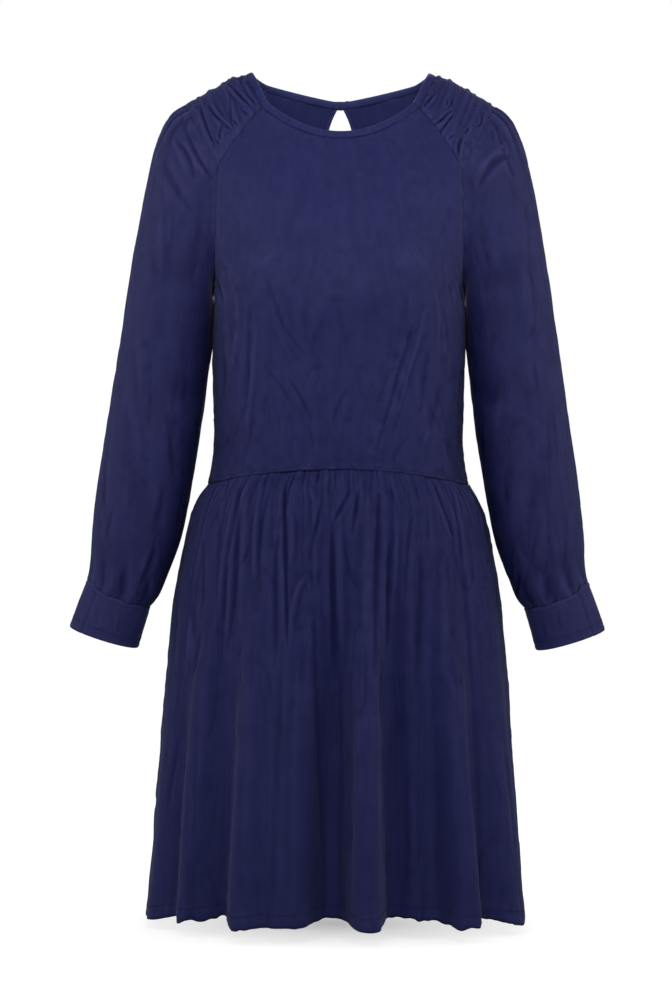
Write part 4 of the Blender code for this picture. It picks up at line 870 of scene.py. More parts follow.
def cloth(name, points, painted_shading, thickness, size, material, side=1, wrap=False, hole=None, inner_shading=INNER_PAINTED_LIGHT):
    """A closed thin shell on a grid of outer points, with the painted shading, shade and light, at each. size
    is the flat width and length that its UVs run over, hole an outline in X and Z to cut out, and
    inner_shading the painted shading of the inner face. The inner layer takes every second point, or every
    point of a piece with a hole."""
    if side < 0:
        points, painted_shading = points[:, ::-1], painted_shading[:, ::-1]
    width = points.shape[1]
    rows, columns = points.shape[0] - 1, width - (not wrap)
    quads, uvs = grid_faces(rows, columns, width, size)
    step = 2
    if hole is not None:
        step = 1
        points, keep = fitted_to_hole(points, quads, hole)
        quads, uvs = quads[keep], uvs[keep]
    inner = (points - normals(relaxed(points, 3, wrap), wrap) * thickness)[::step, ::step]
    index = np.arange(points[..., 0].size).reshape(-1, width)
    inner_index = index.size + np.arange(inner[..., 0].size).reshape(inner.shape[:2])
    if hole is not None:
        under, under_uvs = quads, uvs
        rims = [(b, a, a + index.size, b + index.size) for a, b in border_edges(quads)]
    else:
        under, under_uvs = grid_faces(rows // 2, columns // 2, inner.shape[1], size)
        rims = []
        for outer_line, inner_line in zip(border_lines(index, wrap), border_lines(inner_index, wrap)):
            for k, (i0, i1) in enumerate(zip(inner_line, inner_line[1:])):
                o0, o1, o2 = outer_line[2 * k : 2 * k + 3]
                rims += [(o1, o0, i0), (i1, o1, i0), (o2, o1, i1)]
    vertices = np.concatenate((points.reshape(-1, 3), inner.reshape(-1, 3)))
    faces = [*quads, *(under[:, ::-1] + index.size), *rims]
    spare = np.zeros((sum(map(len, rims)), 2))
    face_uvs = np.concatenate((uvs.reshape(-1, 2), under_uvs[:, ::-1].reshape(-1, 2), spare))
    painted_shading = np.concatenate((painted_shading.ravel(), np.broadcast_to(inner_shading, inner.shape[:2]).ravel()))
    return new_object(name, vertices, faces, material, face_uvs, painted_shading)


def swept(rings, lengths, width, flip):
    """Vertices, faces and UVs of a closed skin with flat ends, on rings of points. The UVs run over lengths,
    which has a place for each ring, and over width round it; flip turns the faces round."""
    count, sides = rings.shape[:2]
    quads, uvs = grid_faces(count - 1, sides, sides, (width, count - 1))
    quads, uvs = quads[:, (0, 3, 2, 1)], uvs[:, (0, 3, 2, 1)]
    uvs = np.stack((lengths[np.rint(uvs[..., 1]).astype(int)], uvs[..., 0]), -1)
    ring = np.arange(sides)
    faces = [*quads, ring, ring[::-1] + (count - 1) * sides]
    if flip:
        faces = [face[::-1] for face in faces]
    return rings.reshape(-1, 3), faces, np.concatenate((uvs.reshape(-1, 2), np.zeros((2 * sides, 2))))


def turned(profile, sides):
    """Vertices and faces of a shape turned about Y, from rows of radius and place; radius 0 is one point."""
    vertices, faces, lines = [], [], []
    for radius, place in profile:
        count = sides if radius else 1
        turn = 2 * math.pi * np.arange(count) / sides
        lines.append(len(vertices) + np.arange(sides) % count)
        vertices.extend(np.stack((radius * np.cos(turn), np.full(count, place), radius * np.sin(turn)), -1))
    for upper, lower in zip(lines, lines[1:]):
        corners = np.stack((upper, np.roll(upper, -1), np.roll(lower, -1), lower), -1)
        faces += [tuple(dict.fromkeys(face)) for face in corners.tolist()]
    return np.array(vertices), faces


class Stitching:
    """Rows of small stitches, joined as one mesh."""

    def __init__(self):
        self.vertices, self.faces = [], []

    def row(self, points, outward, length=0.0026, gap=0.0009, radius=0.00022):
        """Stitches along a line of surface points, with the way out of the cloth at each. Each is pointed at
        its ends and full between 22% and 78% of its length."""
        places = walked(points, 0)
        for start in np.arange(gap, places[-1] - length, length + gap):
            spots = start + length * np.array((0.0, 0.22, 0.78, 1.0))
            line = np.stack([np.interp(spots, places, column) for column in parts(points)], 1)
            out = unit(np.stack([np.interp(spots, places, column) for column in parts(outward)], 1))
            side = np.cross(unit(line[-1] - line[0]), out)
            first = len(self.vertices)
            self.vertices.append(line[0])
            for k in (1, 2):
                for turn in (0.0, 0.5 * math.pi, math.pi, 1.5 * math.pi):
                    level, lift = 1.5 * radius * math.cos(turn), radius * (0.9 + math.sin(turn))
                    self.vertices.append(line[k] + side[k] * level + out[k] * lift)
            self.vertices.append(line[-1])
            for turn in range(4):
                a, b = first + 1 + turn, first + 1 + (turn + 1) % 4
                self.faces += [(first, a, b), (a, a + 4, b + 4, b), (first + 9, b + 4, a + 4)]

    def on(self, points, outward, across, up, wrap=False):
        """A row on a grid, along shares across and up."""
        up = np.broadcast_to(up, across.shape)
        self.row(at(points, across, up, wrap), at(outward, across, up, wrap))


# ---------------------------------------------------------------- materials
def fill(tree, node, inputs):
    """Sets a node's inputs: to a constant, or to another node's output."""
    for entry, value in inputs.items():
        if isinstance(value, bpy.types.NodeSocket):
            tree.links.new(value, node.inputs[entry])
        else:
            node.inputs[entry].default_value = value


def add(tree, kind, output, inputs=None, **settings):
    """A new shader node's output."""
    node = tree.nodes.new("ShaderNode" + kind)
    for name, value in settings.items():
        setattr(node, name, value)
    fill(tree, node, inputs or {})
    return node.outputs[output]


def new_material(name, inputs):
    """A material with constants on its main shader, its tree, and that shader."""
    material = bpy.data.materials.new(name)
    material.use_nodes = True
    tree = material.node_tree
    shader = tree.nodes["Principled BSDF"]
    fill(tree, shader, inputs)
    return material, tree, shader


def shades(tree, factor, colour, darkest, lightest):
    """The colour, from a darker to a lighter shade of it."""
    ends = {entry: (*[c * share for c in colour], 1.0) for entry, share in (("A", darkest), ("B", lightest))}
    return add(tree, "Mix", "Result", {"Factor": factor, **ends}, data_type="RGBA")


def stepped(tree, factor, stops, interpolation="LINEAR"):
    """A colour ramp with a stop at each place."""
    colour = add(tree, "ValToRGB", "Color", {"Fac": factor})
    ramp_of = colour.node.color_ramp
    ramp_of.interpolation = interpolation
    for index, (place, stop) in enumerate(stops):
        element = ramp_of.elements.new(place) if 0.0 < place < 1.0 else ramp_of.elements[min(index, 1)]
        element.color = (*stop, 1.0)
    return colour


def cloth_material(name, colour, wale=0.0011):
    """Fine jersey: vertical wales crossed by courses on the cloth's own UVs, over a soft drift of colour."""
    inputs = {"Roughness": 0.66, "Sheen Roughness": 0.45, "Sheen Tint": (0.55, 0.58, 1.0, 1.0)}
    material, tree, shader = new_material(name, inputs)
    uv = add(tree, "UVMap", "UV", uv_map="cloth")
    place = add(tree, "TexCoord", "Object")

    def bands(direction, spacing, **inputs):
        inputs = {"Vector": uv, "Scale": 2 * math.pi / (20.0 * spacing), **inputs}
        return add(tree, "TexWave", "Fac", inputs, bands_direction=direction)

    def streaks(scale, detail, roughness, distortion):
        """Noise that is drawn out lengthwise in the cloth."""
        vector = add(tree, "Mapping", "Vector", {"Vector": uv, "Scale": scale})
        inputs = {"Scale": 1.0, "Detail": detail, "Roughness": roughness, "Distortion": distortion}
        return add(tree, "TexNoise", "Fac", {"Vector": vector, **inputs})

    wales = bands("X", wale, Distortion=0.6, Detail=1.0)
    courses = bands("DIAGONAL", 0.85 * wale, Distortion=0.8)
    loops = add(tree, "Math", "Value", {0: courses, 1: 0.45, 2: wales}, operation="MULTIPLY_ADD")
    nap = add(tree, "TexNoise", "Fac", {"Vector": place, "Scale": 420.0, "Detail": 2.0})
    lines = streaks((260.0, 16.0, 1.0), 3.0, 0.5, 0.6)
    normal = {}
    for height, strength, distance in ((loops, 0.35, 0.00025), (nap, 0.30, 0.00035), (lines, 0.55, 0.0011)):
        inputs = {"Height": height, "Strength": strength, "Distance": distance, **normal}
        normal = {"Normal": add(tree, "Bump", "Normal", inputs)}
    drift = streaks((110.0, 14.0, 1.0), 5.0, 0.62, 0.4)
    tone = shades(tree, drift, colour, 0.72, 1.28)
    shade = stepped(tree, loops, ((0.0, (0.72, 0.72, 0.74)), (1.0, (1.16, 1.16, 1.16))))
    inputs = {"Factor": 0.30, "A": tone, "B": shade}
    yarn = add(tree, "Mix", "Result", inputs, data_type="RGBA", blend_type="MULTIPLY")
    # Painted shade and light: valleys of folds and seams are painted a little darker than crests, and their
    # fibres shine less there.
    painted_shading = add(tree, "Attribute", "Fac", attribute_name="painted_shading")
    inputs = {0: painted_shading, 1: (0.253, 0.250, 0.185), 2: (0.980, 0.978, 0.990)}
    depth = add(tree, "VectorMath", "Vector", inputs, operation="MULTIPLY_ADD")
    toned = add(tree, "VectorMath", "Vector", {0: yarn, 1: depth}, operation="MULTIPLY")
    fill(tree, shader, {"Base Color": toned, **normal})
    for entry, most in (("Sheen Weight", 0.10), ("Specular IOR Level", 0.12)):
        fill(tree, shader, {entry: add(tree, "Math", "Value", {0: depth, 1: most}, operation="MULTIPLY")})
    return material


def thread_material(name, colour):
    """Twisted thread: fine slanting bands, with a slight gloss."""
    material, tree, shader = new_material(name, {"Roughness": 0.6, "Specular IOR Level": 0.15})
    inputs = {"Vector": add(tree, "TexCoord", "Object"), "Scale": 600.0}
    twist = add(tree, "TexWave", "Fac", inputs, bands_direction="DIAGONAL")
    fill(tree, shader, {"Base Color": shades(tree, twist, colour, 0.75, 1.25)})
    return material


def plastic_material(name, colour):
    """Moulded plastic with a soft gloss, faint swirls and a little haze."""
    material, tree, shader = new_material(name, {"Coat Weight": 0.25})
    inputs = {"Vector": add(tree, "TexCoord", "Object"), "Scale": 260.0, "Distortion": 1.5}
    swirl = add(tree, "TexNoise", "Fac", inputs)
    haze = add(tree, "MapRange", "Result", {"Value": swirl, "To Min": 0.22, "To Max": 0.40})
    fill(tree, shader, {"Base Color": shades(tree, swirl, colour, 0.8, 1.3), "Roughness": haze})
    return material


jersey = cloth_material("jersey_knit", (0.0135, 0.0160, 0.0745))
# A greyer copy of the jersey for the sleeves, yokes and cuffs: the same cloth, painted to stand in for the
# paler, less blue light on them.
sleeve_jersey_lit_copy = cloth_material("sleeve_knit_lit_copy", (0.0136, 0.0151, 0.0690))
binding_cloth = cloth_material("binding_knit", (0.0150, 0.0175, 0.0780), wale=0.0009)
thread = thread_material("sewing_thread", (0.0085, 0.0100, 0.0440))
button_plastic = plastic_material("button_plastic", (0.018, 0.020, 0.060))
stitching = defaultdict(Stitching)


def placed(piece, node=None):
    """Says what a piece rides on, and hides the node that it stands for."""
    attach(piece, "root")
    if node:
        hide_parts(node)


def finished(piece, node):
    placed(piece, node)


# ---------------------------------------------------------------- bodice
def bodice_wrinkles(points, seed):
    """Faint lines: long ones that slant to the waist's centre below the bust, and short ones everywhere."""
    x, y, z = parts(points)
    low = ramp(-z, 0.20, 0.33)
    inward = np.stack((x + 0.30 * np.sign(x) * (z + 0.25), 0.3 * y, z), -1)
    outward = np.stack((x - 0.22 * np.sign(x) * (z + 0.25), 0.3 * y, z), -1)
    lines = wrinkles(inward, (0.010, 0.02, 0.06), seed) * (0.00020 + 0.00050 * low)
    lines += wrinkles(outward, (0.008, 0.02, 0.035), seed + 3, 7.0) * (0.00016 + 0.00030 * low)
    lines += wrinkles(points, (0.016, 0.020, 0.018), seed + 1, 8.0) * 0.00030
    lines += wrinkles(points, (0.007, 0.010, 0.011), seed + 2, 6.0) * 0.00020
    return lines + noise(points, (0.0042, 0.008, 0.0070), seed + 4) * 0.00012


def bust_painted_light(points, at_rest, across):
    """Painted highlight on each side of the bust where it faces the light, painted shade round that and
    towards the side seams, a painted light band under the bust and painted shade above the waist.
    """
    x, _, z = parts(at_rest)
    away = np.hypot(np.abs(x) - BUST_HIGHLIGHT_X, (z - BUST_HIGHLIGHT_Z) * 1.7)
    highlight_speckles = 0.9 + 0.7 * noise(points, 0.0045, 18)
    painted_shading = 1.1 * bump(away, BUST_HIGHLIGHT_REACH) * highlight_speckles - 0.4 * bump(away, 0.060)
    painted_shading -= 1.15 * bump(np.abs(across) - 1.0, 0.46) * ramp(-z, 0.22, 0.29)
    painted_shading += 0.50 * bump(z - PAINTED_LIGHT_BAND_Z, PAINTED_LIGHT_BAND_REACH) * bump(across, 0.60)
    return painted_shading - 0.35 * bump(z - PAINTED_SHADE_BAND_Z, PAINTED_SHADE_BAND_REACH)


def make_bodice(name, form, rows, counts, seed, neck_roll, neck_puckers, size):
    across, up = shares(*counts)
    across = 2.0 * across - 1.0
    points = relaxed(form(across, up), 6)
    out = normals(points)
    waist, neck, side = edge_distance(points)
    rise = creases(rows, points, 0.80, 0.82) + ripples(points, seed) - bodice_wrinkles(points, seed + 6)
    # The lower edge turns in here and there more than elsewhere, with a faint ridge above.
    caught = 0.5 + 0.5 * noise(points, (0.020, 0.05, 0.05), 151)
    rise += 0.0003 * bump(waist - 0.0024, 0.0012) + rolled(waist, 0.0003 * caught, BODICE_TURN)
    rise += rolled(side, 0.0004, BODICE_TURN) + rolled(neck, neck_roll, 0.0034)
    rise += puckers(points, side, seed + 3) + puckers(points, waist, seed + 4, 0.010, 0.00035)
    rise += puckers(points, neck, seed + 5, 0.009, neck_puckers)
    at_rest = points
    points = wander(points + out * rise[..., None], np.minimum(waist, side))
    points[..., 2] -= 0.00035 * bump(waist, 0.0015)
    # Painted shade in the creases and a painted dark line along the side and raglan seams.
    painted_shading = cavity_shading_of(rise) - 1.3 * bump(side, 0.0015)
    cut = {}
    if form is front_bodice_point:
        painted_shading += bust_painted_light(points, at_rest, across)
    else:
        outline = keyhole_offset(np.linspace(0.0, 1.0, 120), KEYHOLE_BINDING - 0.0006)
        outline = np.concatenate(([[outline[0, 0], 0.0]], outline, [[outline[-1, 0], 0.0]]))
        # Painted light on the strip of the inside that shows above the front neck edge, and painted shade on
        # the rest.
        cut = {"hole": outline, "inner_shading": 3.4 - 3.0 * ramp(-at_rest[..., 2], 0.040, 0.062)}
    piece = cloth(f"{name}_cloth", points, painted_shading, CLOTH, size, jersey, **cut)
    finished(piece, name)
    stitching["bodice"].on(points, normals(points), np.linspace(0.004, 0.996, 500), WAIST_STITCHES)


# ---------------------------------------------------------------- shoulder yokes
def yoke_rise(side, out, over):
    """Gathers over the shoulder, caught in the seams at both ends."""
    rise = np.full_like(out, 0.0007)
    for index, (front, top, back, width, height) in enumerate(YOKE_GATHERS[side]):
        bent = top + (back - front) / 2.0 * over + ((front + back) / 2.0 - top) * over**2
        bent = bent + 0.022 * np.sin(2.9 * over + 2.3 * index) * (1.0 - over**2)
        grown = 1.0 + 0.45 * np.sin(3.6 * over + 1.7 * index + side)
        wide = width * MM * (0.85 + 0.15 * grown)
        rise += 1.5 * height * grown * MM * bump((out - bent) * YOKE_LENGTH, wide)
    held = (0.60 + 0.40 * (1.0 - ramp(np.abs(over), 0.62, 1.0))) * (0.75 + 0.25 * ramp(over, -0.45, 0.15))
    return rise * held * ramp(out, 0.0, 0.07) * ramp(1.0 - out, 0.0, 0.07)


def make_yoke(side, name):
    seed = 31 if side > 0 else 41
    across, up = shares(*YOKE_GRID)
    out_share, over = shrunk(across, 0.0010), YOKE_REACH * (2.0 * up - 1.0)
    points = relaxed(yoke_base(out_share, over), 4)
    points[..., 0] *= side
    out = normals(points) * side
    first, last, ends = edge_distance(points)
    seam = np.minimum(first, last)
    y = points[..., 1]
    rise = yoke_rise(side, out_share, over) + ripples(points, seed, 0.8)
    rise += creases(YOKE_CREASES[side], points, 1.7, 0.85) * ramp(-y, -0.004, 0.006)
    rise += creases(YOKE_BACK_CREASES[side], points) * ramp(y, -0.004, 0.006)
    rise -= wrinkles(points, (0.008, 0.012, 0.012), seed + 4) * 0.0009
    rise -= wrinkles(points, (0.0045, 0.012, 0.010), seed + 5, 4.0) * 0.0012 * bump(ends, 0.018)
    rise += rolled(seam, 0.0006, SEAM_TURN) + rolled(ends, 0.0005, SEAM_TURN)
    rise += puckers(points, seam, seed + 3, 0.009, 0.00055, 0.0048)
    points = wander(points + out * rise[..., None], np.minimum(seam, ends))
    caught = ramp(noise(points, 0.006, seed + 7), 0.0, 0.5)
    # Painted shading: the yoke is painted lighter all over, with painted shade in its creases and along its
    # seams, deeper in patches.
    painted_shading = cavity_shading_of(rise) + 0.40 - 1.2 * caught * bump(seam, 0.0024) - 0.8 * bump(seam, SEAM_TURN)
    piece = cloth(f"shoulder_yoke_{name}_cloth", points, painted_shading, CLOTH, (0.09, 0.17), sleeve_jersey_lit_copy, side)
    finished(piece, f"shoulder_yoke_{name}")


# ---------------------------------------------------------------- sleeves and cuffs
def gathers(rows, place, distance, twist):
    """Small folds that start at a seam and fade with the distance from it. Places are round a closed ring."""
    rise = np.zeros_like(place)
    for centre, width, height, reach in rows:
        aside = place - centre - twist * distance
        aside -= np.round(aside)
        wide = width * (1.0 + 1.6 * distance / reach)
        rise += height * MM * bump(aside, wide) * (1.0 - ramp(distance, 0.25 * reach, 1.35 * reach))
    return rise


def make_sleeve(side, name):
    seed = 51 if side > 0 else 61
    share, down = (grid[:, :-1] for grid in shares(*SLEEVE_GRID))
    rounded, down = spread(share), shrunk(down, 0.0005)
    points = relaxed(sleeve_base(rounded, down), 8, True)
    points[..., 0] -= SLEEVE_UNDER_YOKE * (1.0 - ramp(down, 0.0, 0.02))
    points += CUFF_AXIS * SLEEVE_IN_CUFF * ramp(down, 0.985, 1.0)[..., None]
    points[..., 0] *= side
    out = normals(points, True) * side
    first, last, _ = edge_distance(points)
    ahead = read(SLEEVE_RINGS, down)[..., 4] - points[..., 1]
    rise = long_creases(SLEEVE_CREASES, rounded, down) * (0.75 if side > 0 else 0.60)
    rise += creases(SLEEVE_FRONT_CREASES[side], points, 0.9) * ramp(ahead, -0.002, 0.012)
    rise += creases(SLEEVE_BACK_CREASES[side], points, 1.3) * ramp(-ahead, -0.002, 0.012)
    rise += 1.1 * gathers(HEAD_GATHERS, rounded, down, 0.12 * side)
    rise += gathers(CUFF_GATHERS, rounded, 1.0 - down, 0.25 * side)
    rise += ripples(points, seed, 0.6) - wrinkled(points, SLEEVE_WRINKLES, seed)
    rise += noise(points, (0.0042, 0.008, 0.010), seed + 8) * 0.00012
    rise += rolled(first, 0.0005, SEAM_TURN) + rolled(last, 0.0011, 0.0024)
    rise += puckers(points, first, seed + 3, 0.008, 0.00045)
    points = wander(points + out * rise[..., None], first)
    # The inner side lies in the shade of the bodice.
    painted_shading = cavity_shading_of(rise, True) - 0.6 * bump(rounded - 0.46, 0.120) * ramp(down, 0.14, 0.34)
    # Painted shade: a deeper band on the inner side, and a dark line along the armhole seam.
    painted_shading -= 2.5 * bump(rounded - 0.490, 0.110, 3.0) * ramp(down, 0.10, 0.24) + 0.9 * bump(first, 0.0014)
    piece = cloth(f"sleeve_{name}_cloth", points, painted_shading, CLOTH, (0.30, 0.56), sleeve_jersey_lit_copy, side, True)
    finished(piece, f"sleeve_{name}")


def make_cuff(side, name):
    share, down = (grid[:, :-1] for grid in shares(*CUFF_GRID))
    points = relaxed(cuff_base(share, down), 2, True)
    points[..., 0] *= side
    out = normals(points, True) * side
    first, last, _ = edge_distance(points)
    rise = creases(CUFF_CREASES[side], points) * ramp(-0.015 - points[..., 1], -0.002, 0.006)
    rise += rolled(np.minimum(first, last), 0.0007, CUFF_TURN) + rolled(last - CUFF_HEM, 0.0003, 0.0009)
    # A ridge lies below the seam, and the stitch line in a groove below that.
    rise += 0.0003 * bump(first - 0.0028, 0.0012) + rolled(first - 0.0062, 0.0003, 0.0008)
    # A groove runs beside the lapped end.
    rise -= 0.0005 * bump(share - CUFF_STEP_TURN - 0.004, 0.006) * ramp(down, 0.0, 0.1)
    rise += ripples(points, 71 if side > 0 else 81, 0.7) + puckers(points, first, 74, 0.010, 0.00040)
    rise += puckers(points, last - CUFF_HEM, 75, 0.004, 0.00022, 0.0036)
    points = points + out * rise[..., None]
    # Painted shading: the cuff is painted lighter all over, and its creases' painted shade and light are
    # weaker next to the seam.
    painted_shading = cavity_shading_of(rise, True, 12) * (1.0 - 0.7 * bump(first, 0.003)) + 0.45
    stitching[f"cuff_{name}"].on(points, out, np.linspace(0.0, 0.9999, 400), CUFF_STITCHES, True)
    piece = cloth(f"cuff_{name}_cloth", points, painted_shading, CUFF_CLOTH, (0.20, 0.055), sleeve_jersey_lit_copy, side, True)
    finished(piece, f"cuff_{name}")


# ---------------------------------------------------------------- skirt
def waist_gathers(degrees, down, seed, fine_at, count, step, fine_reach, depths, reaches):
    """Small uneven folds below the waist seam, closest together round fine_at: narrow valleys between round
    crests, each with its own depth in mm, length and drift."""
    random = np.random.default_rng(seed + step)
    spacing = 1.0 - 0.42 * np.exp(-(((np.linspace(-84, 84, count) - fine_at) / fine_reach) ** 2))
    spacing = spacing * random.uniform(0.55, 1.45, count)
    centres = np.cumsum(spacing)
    centres = -86.0 + 172.0 * (centres - centres[0]) / (centres[-1] - centres[0])
    rise = np.zeros_like(degrees)
    for centre, room in zip(centres, 172.0 / count * spacing):
        depth = (depths[0] + (depths[1] - depths[0]) * random.uniform() ** 1.8) * MM
        reach = random.choice(reaches)
        drift, bend = random.uniform(-12.0, 12.0), random.uniform(-14.0, 14.0)
        aside = degrees - centre * (1.0 - 0.05 * down) - drift * down - bend * down * down
        wider = 1.0 + 1.2 * down / reach
        left = (0.55 + 0.45 * ramp(down, 0.0, 0.02)) * (1.0 - ramp(down, 0.25 * reach, 1.30 * reach))
        rise -= depth * left * bump(aside, (0.42 + 0.10 * room) * wider, 1.4)
        rise += 0.75 * depth * left * bump(aside - room * random.uniform(0.4, 0.6), 0.42 * room * wider)
    return rise


def make_skirt(name, side, folds, waist_rise, hem_rise, rows, counts, seed, fine_at):
    across, up = shares(*counts)
    across = -side * (2.0 * across - 1.0)
    # The rows are closer together near the waist, where the gathers are.
    down = 1.0 - up
    down = 0.66 * down + 0.34 * down**2
    points, fold = skirt_base(across, down, side, folds, waist_rise, hem_rise)
    points = relaxed(points, 3)
    out = normals(points)
    hem, waist, ends = edge_distance(points)
    degrees = skirt_angle(across)
    spot = np.stack((degrees, np.zeros_like(down), down), -1)
    drift = noise(spot, (9.0, 1.0, 0.10), seed + 30) * 1.1 + noise(spot, (5.0, 1.0, 0.04), seed + 31) * 0.5
    degrees = degrees + drift * ramp(down, 0.0, 0.04)
    large, middle, fine = [waist_gathers(degrees, down, seed, fine_at, *row) for row in WAIST_GATHERS]
    rise = (large + middle + fine) * ramp(90.0 - np.abs(degrees), 0.0, 4.0)
    rise += creases(rows, points, 1.25) * (1.0 - 0.42 * ramp(down, 0.30, 0.60))
    rise += ripples(points, seed + 86, 1.1)
    rise += noise(points, (0.014, 0.014, 0.13), seed + 90) * 0.0008 * ramp(down, 0.02, 0.3)
    rise -= wrinkled(points, SKIRT_WRINKLES, seed)
    rise += noise(points, (0.0050, 0.0050, 0.014), seed + 95) * 0.00014
    rise += rolled(ends, 0.0005, SEAM_TURN) + rolled(waist, 0.0001, BODICE_TURN)
    rise += rolled(hem, 0.0008, HEM_TURN) + rolled(hem - HEM_DEPTH, 0.00035, 0.0011)
    rise += puckers(points, hem - HEM_DEPTH, 96, 0.005, 0.00030, 0.0046)
    rise += puckers(points, hem, 99, 0.009, 0.0010, 0.0080)
    rise -= wrinkles(points, (0.034, 0.034, 0.0050), 98, 4.0) * 0.0013 * bump(hem - 0.007, 0.013)
    points = wander(points + out * rise[..., None], np.minimum(waist, ends))
    crumpled = ramp(noise(points, (0.060, 0.060, 1.0), seed + 98), -0.55, 0.35)
    broad = noise(points, (0.013, 0.013, 1.0), seed + 97) * (0.0010 + 0.0010 * crumpled)
    small = noise(points, (0.0055, 0.0055, 1.0), seed + 99) * 0.0013 * crumpled
    points[..., 2] += (broad + small) * bump(hem, 0.010)
    # Painted shade and light: the cloth is painted darker towards the waist, where the depths of its gathers
    # keep more of their painted shade, and the folds are painted darker in their valleys and lighter on their
    # crests.
    painted_shading = cavity_shading_of(rise) * (0.75 - 0.40 * ramp(down, 0.30, 0.75)) - 0.90 * (1.0 - ramp(down, 0.08, 0.80))
    painted_shading += np.clip(fold / 0.030, -1.0, 0.6) * 0.22 + np.clip(fine / SHADING_UNIT, -1.5, 0.8) * 0.4 - 0.10
    painted_shading = np.maximum(painted_shading, -2.8 + 1.3 * ramp(down, 0.10, 0.70))
    piece = cloth(f"{name}_cloth", points, painted_shading, CLOTH, (0.62, 0.475), jersey)
    finished(piece, name)
    # The hem's stitch line keeps its height above the edge in every column.
    steps = np.linspace(0.004, 0.996, 900)
    columns = np.linspace(0.0, 1.0, points.shape[1])
    level = [np.interp(HEM_DEPTH, distance, share) for distance, share in zip(hem.T, up.T)]
    stitching["hem"].on(points, normals(points), steps, np.interp(steps, columns, level))


# ---------------------------------------------------------------- bindings and closure
def binding(name, centre, across, outward, width, thickness, flip=False, flecks_and_inner_light=0.9):
    """A padded strip: a rounded section swept along centre points. It lies along across, which points to its
    free edge, and stands to outward. flip turns its faces round, and flecks_and_inner_light is how speckled
    it is and how much more painted light its inner side takes."""
    turn = 2 * math.pi * np.arange(14) / 14
    reach, lift = power_of(np.cos(turn), 3.0), power_of(np.sin(turn), 2.4)
    lying, standing = (reach * width / 2)[:, None], (lift * thickness / 2)[:, None]
    rings = centre[:, None] + across[:, None] * lying + outward[:, None] * standing
    vertices, faces, uvs = swept(rings, walked(centre, 0), 2.2 * width, flip)
    # The free edge and the inner side catch the light; the sewn edge lies in the cloth's shade.
    painted_shading = 3.2 * np.maximum(reach, 0.0) ** 3 - 1.4 * np.maximum(-reach, 0.0) ** 3
    painted_shading += (2.1 + flecks_and_inner_light) * np.maximum(-lift, 0.0)
    painted_shading = np.tile(painted_shading, len(centre)) + flecks_and_inner_light * noise(vertices, 0.0022, 123)
    return new_object(name, vertices, faces, binding_cloth, uvs, painted_shading)


def make_neck_binding():
    part = np.linspace(-1.0, 1.0, 421)
    edge = neck_edge(part)
    for _ in range(12):
        edge[1:-1] = eased(edge)
    lean = neck_lean(part)
    outward = unit(np.cross(np.gradient(edge, axis=0), lean))
    wobble = noise(edge, 0.006, 121) * 0.00015
    centre = edge + lean * (BINDING_WIDTH / 2 - BINDING_OVERLAP) + outward * (wobble - BINDING_SUNK)[:, None]
    width, thickness = BINDING_WIDTH + BINDING_EXTRA_WIDTH, BINDING_CLOTH + BINDING_EXTRA_CLOTH
    piece = binding("neck_binding_cloth", centre, lean, outward, width, thickness)
    finished(piece, "neck_binding")
    stitching["neck"].row(centre - lean * 0.0026 + outward * 0.0010, outward, 0.0022, 0.0008, 0.00018)


def make_keyhole_binding():
    share = shrunk(np.linspace(0.0, 1.0, 181), 0.0120)
    centre_line = [(z, y) for _, y, z, *_ in CENTRE_BACK]

    def on_back(distance):
        x, z = parts(keyhole_offset(share, distance))
        return np.stack((x, read(centre_line, z)[..., 0], z), -1)

    centre = on_back(KEYHOLE_BINDING / 2)
    across = unit(on_back(KEYHOLE_BINDING) - on_back(0.0))
    outward = unit(np.cross(np.gradient(centre, axis=0), across))
    outward *= np.sign(outward[:, 1:2])
    centre -= outward * BINDING_SUNK
    size = (KEYHOLE_BINDING, BINDING_CLOTH)
    piece = binding("keyhole_binding_cloth", centre, -across, outward, *size, True, 2.1)
    finished(piece, "keyhole_binding")
    stitching["keyhole"].row(centre + across * 0.0014 + outward * 0.00095, outward, 0.0022, 0.0008, 0.00018)


